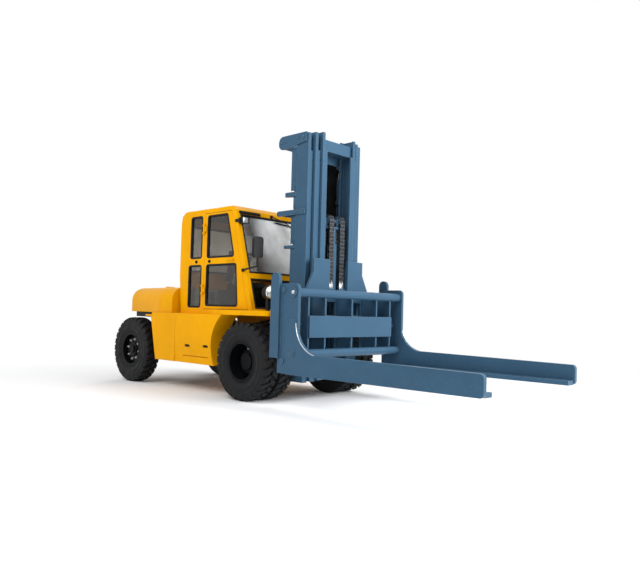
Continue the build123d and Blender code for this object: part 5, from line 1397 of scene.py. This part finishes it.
@dataclass
class Cushion:
    """A stuffed seat pad, blown up as cloth and sewn in channels."""

    name: str
    size: Triple
    place: Matrix
    channels: Span = (-0.110, 0.110)
    channel_depth: float = 0.007
    channel_width: float = 0.011
    fill: float = 0.8
    voxel: float = 0.006
    cap: float = 0.014
    pull: float = 0.02
    pressure: float = 4.0
    frames: int = 20
    piping_r: float = 0.0035
    piping_band: Span = (0.16, 0.24)

    def build(self) -> None:
        """Make the pad and the piping round its top edge."""
        data = self._blown(self._blank())
        for vert in data.vertices:
            for line in self.channels if vert.co.z > 0 else ():
                gap = (vert.co.y - line) / self.channel_width
                vert.co.z -= self.channel_depth * math.exp(-gap * gap)
        cord = self._piping(data)
        data.transform(self.place)
        piece = fit(self.name, data, Palette.VINYL, CHASSIS, ["seat"], 60.0)
        bmesh.ops.transform(cord, matrix=self.place, verts=cord.verts)
        fit(f"{self.name}_piping", cord, Palette.SEAL, smooth_deg=80.0)

    def _blank(self) -> Object:
        """The pad before it is blown up: smaller, with sides that pull in between the corners.

        Returns:
            The remeshed pad.
        """
        mesh = bmesh.new()
        half = Vector(self.size) / 2 - Vector((self.cap, self.cap, self.cap)) * 0.6
        box(mesh, *[about(0.0, reach) for reach in half], min(half) * 0.55, 3)
        bmesh.ops.subdivide_edges(mesh, edges=mesh.edges, cuts=4, use_grid_fill=True)
        for vert in mesh.verts:
            along, across = vert.co.x / half.x, vert.co.y / half.y
            vert.co.y *= 1 - self.pull * (1 - along * along)
            vert.co.x *= 1 - self.pull * (1 - across * across)
        blank = put("blank", flat(mesh))
        remesh = blank.modifiers.new("remesh", "REMESH")
        remesh.mode = "VOXEL"
        remesh.voxel_size = self.voxel
        return self._applied(blank)

    @staticmethod
    def _applied(item: Object) -> Object:
        """Work an object's modifiers into its mesh.

        Args:
            item: Object with modifiers.

        Returns:
            The same object without them.
        """
        done = worked_in(item)
        item.modifiers.clear()
        item.data = done
        return item

    def _blown(self, blank: Object) -> Mesh:
        """Blow the blank up, cap how far it moves and smooth it once.

        Args:
            blank: The remeshed pad, which is removed.

        Returns:
            The finished skin.
        """
        before = [vert.co.copy() for vert in blank.data.vertices]
        cloth = blank.modifiers.new("cloth", "CLOTH")
        cloth.settings.use_pressure = True
        cloth.settings.uniform_pressure_force = self.pressure
        cloth.settings.effector_weights.gravity = 0.0
        cloth.settings.quality = 4
        cloth.point_cache.frame_start = 1
        cloth.point_cache.frame_end = self.frames
        for number in range(1, self.frames + 1):
            bpy.context.scene.frame_set(number)
        self._applied(blank)
        bpy.context.scene.frame_set(1)
        for vert, start in zip(blank.data.vertices, before):
            moved = vert.co - start
            if moved.length > self.cap:
                vert.co = start + moved.normalized() * self.cap
        finer = blank.modifiers.new("finer", "SUBSURF")
        finer.levels = 1
        finer.render_levels = 1
        made = self._applied(blank).data
        bpy.data.objects.remove(blank)
        return made

    def _piping(self, data: Mesh, steps: int = 72) -> BMesh:
        """A bead along the seam round the pad's top edge.

        Args:
            data: The pad's skin.
            steps: Points round the seam.

        Returns:
            The bead.
        """
        low, high = [self.size[2] * share for share in self.piping_band]
        reach: dict[int, Vector] = {}
        for vert in data.vertices:
            if low < vert.co.z < high:
                angle = math.atan2(vert.co.y / self.size[1], vert.co.x / self.size[0])
                sector = int((angle / math.tau + 0.5) * steps)
                if sector not in reach or vert.co.xy.length > reach[sector].xy.length:
                    reach[sector] = vert.co.copy()
        loop = [Vector((p.x, p.y, (low + high) / 2)) for _, p in sorted(reach.items())]
        made = bmesh.new()
        tube(made, loop + loop[:2], self.piping_r)
        return made


@dataclass
class Cab:
    """What the driver sits at: seat, mat, levers, pedals, gauges, heater, locks, wiper and mirrors."""

    rake_deg: float = 16.2
    screen_base: Span = (-0.089, 1.170)
    cushion: Triple = (0.440, 0.470, 0.098)
    cushion_place: Triple = (-1.225, 0.0, 1.552)
    backrest: Triple = (0.520, 0.460, 0.090)
    backrest_place: Triple = (-1.432, 0.0, 1.850)
    seat_lean_deg: float = 9.3
    seat_pan: Block = ((-1.460, -1.015), (-0.225, 0.225), (1.4965, 1.508), 0.004)
    seat_rail: Block = ((-1.470, -1.010), (0.132, 0.168), (1.481, 1.497), 0.003)
    base_front: Block = ((-0.9995, -0.996), (-0.298, 0.298), (1.1715, 1.478), 0.001)
    base_side: Block = ((-1.519, -1.001), (0.3005, 0.304), (1.1715, 1.478), 0.001)
    floor_mat: Block = ((-0.985, -0.530), (-0.780, 0.780), (1.1705, 1.175), 0.002)
    mat_rib: Block = ((-0.975, -0.955), (-0.770, 0.770), (1.1748, 1.179), 0.0018)
    mat_ribs: int = 11
    rib_pitch: float = 0.040
    # black headliner: also painted shade under the roof
    headliner: Block = ((-1.700, -0.640), (-0.795, 0.795), (2.553, 2.565), 0.004)
    lever_box: Block = ((-1.14, -0.98), (-0.460, -0.330), (1.1705, 1.560), 0.020)
    lever_x: Span = (-1.02, -0.965)
    lever_z: Span = (1.555, 1.740)
    lever_y: tuple[float, ...] = (-0.440, -0.410, -0.380, -0.350)
    lever_r: float = 0.006
    knob: tuple[Span, ...] = (
        (0, -0.022), (0.009, -0.020), (0.015, -0.004), (0.015, 0.008), (0.008, 0.018), (0, 0.020))
    pedals: tuple[Span, ...] = (
        # station across the cab, width
        (0.230, 0.075), (-0.060, 0.095), (-0.230, 0.060))
    pedal_rod: tuple[Span, ...] = ((-0.515, 1.300), (-0.560, 1.260), (-0.590, 1.240))
    pedal_r: float = 0.010
    pedal_pad: Span = (-0.600, 1.240)  # middle along X and Z
    pedal_half: Span = (0.055, 0.006)
    pedal_lean_deg: float = -50.0
    pod: Block = ((-0.075, 0.035), (-0.170, 0.170), (-0.055, 0.055), 0.018)
    pod_place: Triple = (-0.400, 0.0, 1.560)
    pod_lean_deg: float = 25.0
    dials: tuple[Span, ...] = (
        # station across the cab, radius
        (-0.105, 0.038), (0.0, 0.044), (0.105, 0.038))
    heater: Block = ((-1.698, -1.560), (-0.700, 0.700), (1.1705, 1.480), 0.022)
    louvre: Block = ((-1.562, -1.554), (-0.640, -0.360), (1.230, 1.238), 0.002)
    louvres: int = 10
    louvre_pitch: float = 0.022
    lock: tuple[Span, ...] = (
        (0.024, 0.0), (0.024, 0.006), (0.017, 0.009), (0.016, 0.020), (0.012, 0.023), (0, 0.023))
    wiper_boss: tuple[Span, ...] = ((0.024, 0.0), (0.024, 0.018), (0.016, 0.028), (0, 0.030))
    wiper_arm: tuple[Triple, ...] = (
        # station across the screen, height and distance from its face
        (-0.200, 2.535, 0.022), (-0.080, 2.500, 0.024), (0.130, 2.452, 0.008))
    wiper_arm_r: float = 0.007
    blade: tuple[Triple, ...] = ((-0.140, 2.462, 0.0), (0.420, 2.420, 0.0))
    blade_r: float = 0.008
    claws: tuple[float, ...] = (0.1, 0.4, 0.6, 0.9)
    visor: tuple[Span, ...] = ((-0.62, 0.62), (2.37, 2.50), (-0.060, -0.048))
    # black strip over the screen's head, shaped as a wiper motor cover: painted shadow under the roof's front lip
    motor_cover: tuple[Span, ...] = ((-0.800, -0.420), (2.516, 2.552), (0.0002, 0.022))
    mirror_x: float = 0.030
    mirror_y: Span = (0.828, 0.972)
    mirror_z: Span = (1.878, 2.142)
    mirror_corner: float = 0.030
    wall_y: float = 0.844
    lock_x: Span = (-1.060, -1.374)
    lock_z: float = 1.866

    def build(self) -> None:
        """Furnish the cab inside and out."""
        self._seat()
        self._floor()
        self._controls()
        self._gauges()
        self._heater()
        self._locks()
        self._wiper()
        self._mirrors()

    def screen(self, y: float, z: float, height: float) -> Vector:
        """A point over the windscreen frame's outer face.

        Args:
            y: Its station across the cab.
            z: Height of its foot on the face.
            height: Distance out from the face.

        Returns:
            The point.
        """
        lean = math.radians(self.rake_deg)
        x = self.screen_base[0] - (z - self.screen_base[1]) * math.tan(lean)
        return Vector((x + height * math.cos(lean), y, z + height * math.sin(lean)))

    def _seat(self) -> None:
        """Two sewn pads on a moulded pan and slide rails."""
        lean = Matrix.Rotation(math.radians(self.seat_lean_deg - 90), 4, "Y")
        Cushion("seat_cushion", self.cushion, Matrix.Translation(self.cushion_place)).build()
        Cushion("seat_backrest", self.backrest, Matrix.Translation(self.backrest_place) @ lean).build()
        pan = bmesh.new()
        box(pan, *self.seat_pan)
        twin_box(pan, *self.seat_rail)
        fit("seat_pan", pan, Palette.PLASTIC)

    def _floor(self) -> None:
        """A ribbed rubber mat, trim over the seat's steel base and a black headliner, whose black also paints the
        shade under the roof.
        """
        trim, mat, shade_liner, rib = [bmesh.new() for _ in range(4)]
        box(trim, *self.base_front)
        twin_box(trim, *self.base_side)
        box(mat, *self.floor_mat)
        box(shade_liner, *self.headliner)
        box(rib, *self.mat_rib)
        fit("seat_base_trim", trim, Palette.PLASTIC)
        fit("floor_mat", mat, Palette.SEAL)
        fit("headliner", shade_liner, Palette.SEAL)
        ribs = Pattern.ROW.grow(rib, Palette.SEAL, Count=self.mat_ribs, Step=(self.rib_pitch, 0.0, 0.0))
        fit("floor_mat_ribs", ribs, Palette.SEAL)

    def _controls(self) -> None:
        """Lift, tilt and shift levers on the right, and three pedals under the dash."""
        rods, knobs, pads = [bmesh.new() for _ in range(3)]
        box(knobs, *self.lever_box)
        for y in self.lever_y:
            foot, head = [Vector((x, y, z)) for x, z in zip(self.lever_x, self.lever_z)]
            tube(rods, [foot, foot.lerp(head, 0.5), head], self.lever_r, 10)
            lathe(knobs, self.knob, head, head - foot, 16)
        lean = Matrix.Rotation(math.radians(self.pedal_lean_deg), 4, "Y")
        long, thick = self.pedal_half
        for y, width in self.pedals:
            tube(rods, [(x, y, z) for x, z in self.pedal_rod], self.pedal_r, 10)
            place = Matrix.Translation((self.pedal_pad[0], y, self.pedal_pad[1])) @ lean
            box(pads, about(0, long), about(0, width / 2), about(0, thick), 0.004, place=place)
        fit("control_rods", rods, Palette.STEEL)
        fit("lever_knobs", knobs, Palette.PLASTIC)
        fit("pedal_pads", pads, Palette.SEAL)

    def _gauges(self) -> None:
        """An instrument pod on the dash with plain dials."""
        pod, rims, dials = [bmesh.new() for _ in range(3)]
        lean = Matrix.Rotation(math.radians(self.pod_lean_deg), 4, "Y")
        place = Matrix.Translation(self.pod_place) @ lean
        box(pod, *self.pod, place=place)
        axis = place.to_3x3() @ Vector((-1, 0, 0))
        for y, r in self.dials:
            centre = place @ Vector((self.pod[0][0], y, 0))
            lathe(rims, [(r, -0.002), (r, 0.006), (r - 0.004, 0.007), (r - 0.006, 0.001)], centre, axis)
            lathe(dials, [(r - 0.004, 0.0006), (r - 0.006, 0.002), (0, 0.0022)], centre, axis)
        fit("instrument_pod", pod, Palette.PLASTIC)
        fit("gauge_rims", rims, Palette.CHROME)
        fit("gauge_dials", dials, Palette.LENS)

    def _heater(self) -> None:
        """A grey heater box with louvres along the foot of the rear wall."""
        case, slat = bmesh.new(), bmesh.new()
        box(case, *self.heater, 3)
        fit("heater_box", case, Palette.GREY)
        box(slat, *self.louvre)
        data = Pattern.ROW.grow(slat, Palette.SEAL, Count=self.louvres, Step=(0.0, 0.0, self.louvre_pitch))
        fit("heater_louvres", mirrored(data), Palette.SEAL)

    def _locks(self) -> None:
        """Black push locks on the doors' rails and catches on the walls behind them."""
        catches = bmesh.new()
        for side in Side:
            lock = bmesh.new()
            for mesh, x in zip((lock, catches), self.lock_x):
                lathe(mesh, self.lock, (x, side.value * self.wall_y, self.lock_z), side.out, 24)
            fit(f"{side.word}_door_lock", lock, Palette.PLASTIC, f"{side.word}_door")
        fit("wall_catches", catches, Palette.PLASTIC)

    def _slab(self, mesh: BMesh, y: Span, z: Span, height: Span) -> None:
        """A bevelled slab that lies along the windscreen.

        Args:
            mesh: Empty mesh that gets the slab.
            y: Its two sides.
            z: Its lower and upper edge.
            height: Distance of its two faces from the frame's outer face.
        """
        corners = ((y[0], z[1]), (y[1], z[1]), (y[1], z[0]), (y[0], z[0]))
        skin(mesh, [[self.screen(a, b, h) for a, b in corners] for h in height], capped=True)
        bmesh.ops.bevel(mesh, geom=mesh.edges[:], offset=0.004, segments=2, affect="EDGES")

    def _wiper(self) -> None:
        """A wiper parked along the screen's head, a black strip shaped as its motor cover that paints the shadow
        under the roof's front lip, and a sun visor behind the glass.
        """
        arm, blade, visor, cover = [bmesh.new() for _ in range(4)]
        normal = self.screen(0, 2, 1) - self.screen(0, 2, 0)
        lathe(arm, self.wiper_boss, self.screen(*self.wiper_arm[0][:2], 0.0), normal, 20)
        tube(arm, [self.screen(*spot) for spot in self.wiper_arm], self.wiper_arm_r, 10)
        start, end = [self.screen(*spot) for spot in self.blade]
        tube(blade, [start.lerp(end, share) for share in (0, 0.25, 0.5, 0.75, 1)], self.blade_r)
        for share in self.claws:
            spot = start.lerp(end, share)
            tube(blade, [spot - normal * 0.010, spot + normal * 0.004], self.blade_r + MM)
        self._slab(visor, *self.visor)
        self._slab(cover, *self.motor_cover)
        fit("wiper_arm", arm, Palette.PLASTIC)
        fit("wiper_blade", blade, Palette.SEAL)
        fit("sun_visor", visor, Palette.PLASTIC)
        # black strip: painted shadow under the roof's front lip
        fit("wiper_motor_cover", cover, Palette.SEAL)

    def _mirrors(self) -> None:
        """Silvered panes on the back of the mirror heads, in a thin rim."""
        panes, rims = bmesh.new(), bmesh.new()
        out = Vector((-0.002, 0, 0))
        corner = self.mirror_corner
        low, high = self.mirror_z[0] + corner, self.mirror_z[1] - corner
        for side in Side:
            near, far = sorted(side.value * edge for edge in self.mirror_y)
            near, far = near + corner, far - corner
            loop = []
            for y, z, start in ((far, high, 0), (near, high, 90), (near, low, 180), (far, low, 270)):
                for angle in (math.radians(start + 15 * k) for k in range(7)):
                    spot = (y + corner * math.cos(angle), z + corner * math.sin(angle))
                    loop.append(Vector((self.mirror_x, *spot)))
            panes.faces.new([panes.verts.new(p + out) for p in loop])
            bmesh.ops.solidify(panes, geom=panes.faces[-1:], thickness=0.0018)
            tube(rims, [p + out * 0.5 for p in loop + loop[:1]], 0.003)
        fit("mirror_panes", panes, Palette.MIRROR)
        fit("mirror_rims", rims, Palette.PLASTIC)


@dataclass
class Hardware:
    """Bolts, guards, pipes and shaft ends of the mast and the arms, and bright beads that paint the highlight
    along the arms' heels.
    """

    bolt_across: float = 0.030
    bolt_height: float = 0.016
    bolt_y: float = 0.540
    bolts: tuple[Span, ...] = (
        # station and height on the ties, the clamps and the tilt brackets
        (0.06, 3.47), (0.14, 3.47), (0.38, 3.49), (0.48, 3.49), (0.38, 2.50), (0.48, 2.50),
        (0.40, 0.95), (0.50, 0.95), (0.40, 1.17), (0.50, 1.17),
    )
    pipe_r: float = 0.014
    union_r: float = 0.0165
    union: float = 0.035
    right_pipes: int = 7
    left_pipes: int = 12
    pipe_y: float = 0.115
    pipe_pitch: float = 0.034
    pipe_x: float = 0.212
    pipe_z: Span = (0.62, 3.36)
    bar_x: Span = (0.182, 0.1975)
    bar_y: Span = (-0.345, 0.515)
    bar_half: float = 0.022
    bar_z: tuple[float, ...] = (1.02, 1.50, 2.04, 2.74, 3.22)
    guard_y: Span = (0.492, 0.500)
    guard_front: float = 0.3498
    guards: tuple[Triple, ...] = (
        # lower end, upper end, rear edge
        (1.23, 2.0397, 0.247), (2.0803, 2.4847, 0.247), (2.5503, 2.7397, 0.282), (2.7953, 3.37, 0.230),
    )
    lug: Triple = (0.030, 0.020, 0.040)  # along X, Y and Z
    wing_x: Span = (0.526, 0.534)
    wing_y: Span = (0.5203, 0.630)
    wing_z: Span = (1.02, 1.38)
    plate_edge: float = 0.003
    shaft_x: float = 0.918
    stub: Span = (1.412, 0.024)  # height, radius
    disc: Span = (0.670, 0.040)  # height, radius
    # bright bead on each arm's heel: painted highlight along the edge
    heel: tuple[Span, ...] = ((1.280, 0.675), (1.080, 0.780), (0.970, 1.040))
    heel_y: float = 1.056

    def build(self) -> None:
        """Bolt everything together."""
        self._bolts()
        self._guards()
        self._pipes()
        self._shaft_ends()
        self._heel_edges()

    def _bolts(self) -> None:
        """Hexagon bolts with washers on the mast's ties and clamps."""
        unit = bmesh.new()
        high, washer, corner = self.bolt_height, self.bolt_across * 0.62, self.bolt_across / math.sqrt(3)
        lathe(unit, [(0, 0), (washer, 0), (washer, high * 0.22), (0, high * 0.22)], ORIGIN, Z_AXIS, 12)
        lathe(unit, [(corner, high * 0.2), (corner, high * 0.85), (corner * 0.82, high), (0, high)],
              ORIGIN, Z_AXIS, 6)
        places = [((x, side.value * self.bolt_y, z), side.out) for side in Side for x, z in self.bolts]
        data = Pattern.set_on(unit, Palette.MAST, places)
        fit("mast_bolts", data, Palette.MAST, "outer_mast", smooth_deg=25.0)

    def _guards(self) -> None:
        """Guard plates on lugs behind the outer rails, and wings beside the rails."""
        mesh = bmesh.new()
        front, edge, outside = self.guard_front, self.plate_edge, self.guard_y[1]
        long, wide, tall = self.lug
        for low, high, back in self.guards:
            twin_box(mesh, (back, front), self.guard_y, (low, high), edge)
            for z in (low + 0.05, high - 0.09):
                twin_box(mesh, (front - long, front), (outside, outside + wide), (z, z + tall), edge)
        twin_box(mesh, self.wing_x, self.wing_y, self.wing_z, edge)
        fit("cylinder_guards", mesh, Palette.MAST, "outer_mast")

    def _pipes(self) -> None:
        """Rigid hydraulic pipes up the back of the mast, in two groups on cross bars."""
        pipes, bars = bmesh.new(), bmesh.new()
        low, high = self.pipe_z
        for side, count in ((Side.LEFT, self.left_pipes), (Side.RIGHT, self.right_pipes)):
            for number in range(count):
                foot = (self.pipe_x, side.value * (self.pipe_y + number * self.pipe_pitch), 0)
                top = high - 0.05 * (number % 2)
                lathe(pipes, [(0, low), (self.pipe_r, low), (self.pipe_r, top), (0, top)], foot, Z_AXIS, 12)
                for z in (low, top - self.union):
                    end = z + self.union
                    nut = [(self.pipe_r, z), (self.union_r, z), (self.union_r, end), (self.pipe_r, end)]
                    lathe(pipes, nut, foot, Z_AXIS, 6)
        for z in self.bar_z:
            box(bars, self.bar_x, self.bar_y, about(z, self.bar_half), self.plate_edge)
        fit("mast_pipes", pipes, Palette.SEAL, "outer_mast")
        fit("pipe_bars", bars, Palette.MAST, "outer_mast")

    def _shaft_ends(self) -> None:
        """Bright stub bolts in the upper shaft's ends, and painted discs on the lower shaft's ends."""
        bright, painted = bmesh.new(), bmesh.new()
        low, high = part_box("carriage_shafts")
        for side, y in ((Side.RIGHT, low.y), (Side.LEFT, high.y)):
            for mesh, (z, r) in ((bright, self.stub), (painted, self.disc)):
                profile = [(0, 0.0), (r, 0.0), (r, 0.006), (r * 0.9, 0.008), (0.014, 0.008), (0.014, 0.016),
                           (0, 0.017)]
                lathe(mesh, profile, (self.shaft_x, y, z), side.out, 24)
        fit("shaft_stub_bolts", bright, Palette.STEEL, "carriage")
        fit("shaft_end_discs", painted, Palette.MAST, "carriage")

    def _heel_edges(self) -> None:
        """A bright steel bead along the curved edge of each arm's heel: a painted highlight where the edge catches
        the light.
        """
        start, bow, end = [Vector((x, 0, z)) for x, z in self.heel]
        one, two = bow - start, end - start
        across = one.cross(two)
        reach = two.length_squared * across.cross(one) + one.length_squared * two.cross(across)
        centre = start + reach / (2 * across.length_squared)
        path = arc(centre, start, bow, 8)[:-1] + arc(centre, bow, end, 8)
        for side in Side:
            mesh = bmesh.new()
            tube(mesh, [p + Vector(side.out) * self.heel_y for p in path], 0.006)
            fit(f"{side.word}_heel_edge", mesh, Palette.STEEL, f"{side.word}_arm")


@dataclass
class Bodywork:
    """Small sheet-metal and rubber fittings on the tanks and under the counterweight; the black liners and pads
    paint the shade in the wheel arches and the foot slots.
    """

    # black rubber liners in the wheel arches: painted shade under the counterweight, partly a mudguard
    liner_top: float = 1.1097
    lip: tuple[Span, ...] = ((-2.275, 0.915), (-3.100, 0.775))
    skirt: Span = (0.010, 1.032)  # depth inwards, lower face
    roof: Span = (0.300, 1.1017)  # depth inwards, lower face
    shelf_x: Span = (-2.490, -2.2703)
    shelf_y: Span = (0.702, 0.985)
    shelf_z: Span = (1.047, 1.074)
    # black pads in the foot slots: painted shade inside the slots
    slots: tuple[Span, ...] = ((-1.330, 0.647), (-0.899, 0.657))
    slot_size: Span = (0.116, 0.029)
    slot_y: Span = (0.956, 0.985)

    def build(self) -> None:
        """Fit black wheel arch liners that paint the shade under the counterweight, the ends of the tank shelves
        and black pads that paint the shade in the foot slots, on both sides.
        """
        shade_liner, shelf, pads = [bmesh.new() for _ in range(3)]
        for side in Side:
            for inward, low in (self.skirt, self.roof):
                plan = [*self.lip, *((x, y - inward) for x, y in reversed(self.lip))]
                rings = [[(x, side.value * y, z) for x, y in plan] for z in (low, self.liner_top)]
                skin(shade_liner, rings, capped=True)
        twin_box(shelf, self.shelf_x, self.shelf_y, self.shelf_z, 0.006)
        wide, high = self.slot_size
        for x, z in self.slots:
            twin_box(pads, about(x, wide / 2), self.slot_y, about(z, high / 2), 0.012, 3)
        # black liners: painted shade under the counterweight
        fit("wheel_arch_liners", shade_liner, Palette.SEAL)
        fit("tank_shelf_ends", shelf, Palette.BODY, CHASSIS)
        # black pads: painted shade inside the foot slots
        fit("foot_slot_pads", pads, Palette.SEAL)


def main() -> None:
    """Build the truck's looks in order."""
    logging.basicConfig(level=logging.INFO, format="%(name)s: %(message)s")
    Studio().build()
    Coats().build()
    Wheels(Tyre()).build()
    WindowSeals().build()
    LeafChains().build()
    Lamps().build()
    Cab().build()
    Hardware().build()
    Bodywork().build()


if __name__ == "__main__":
    main()
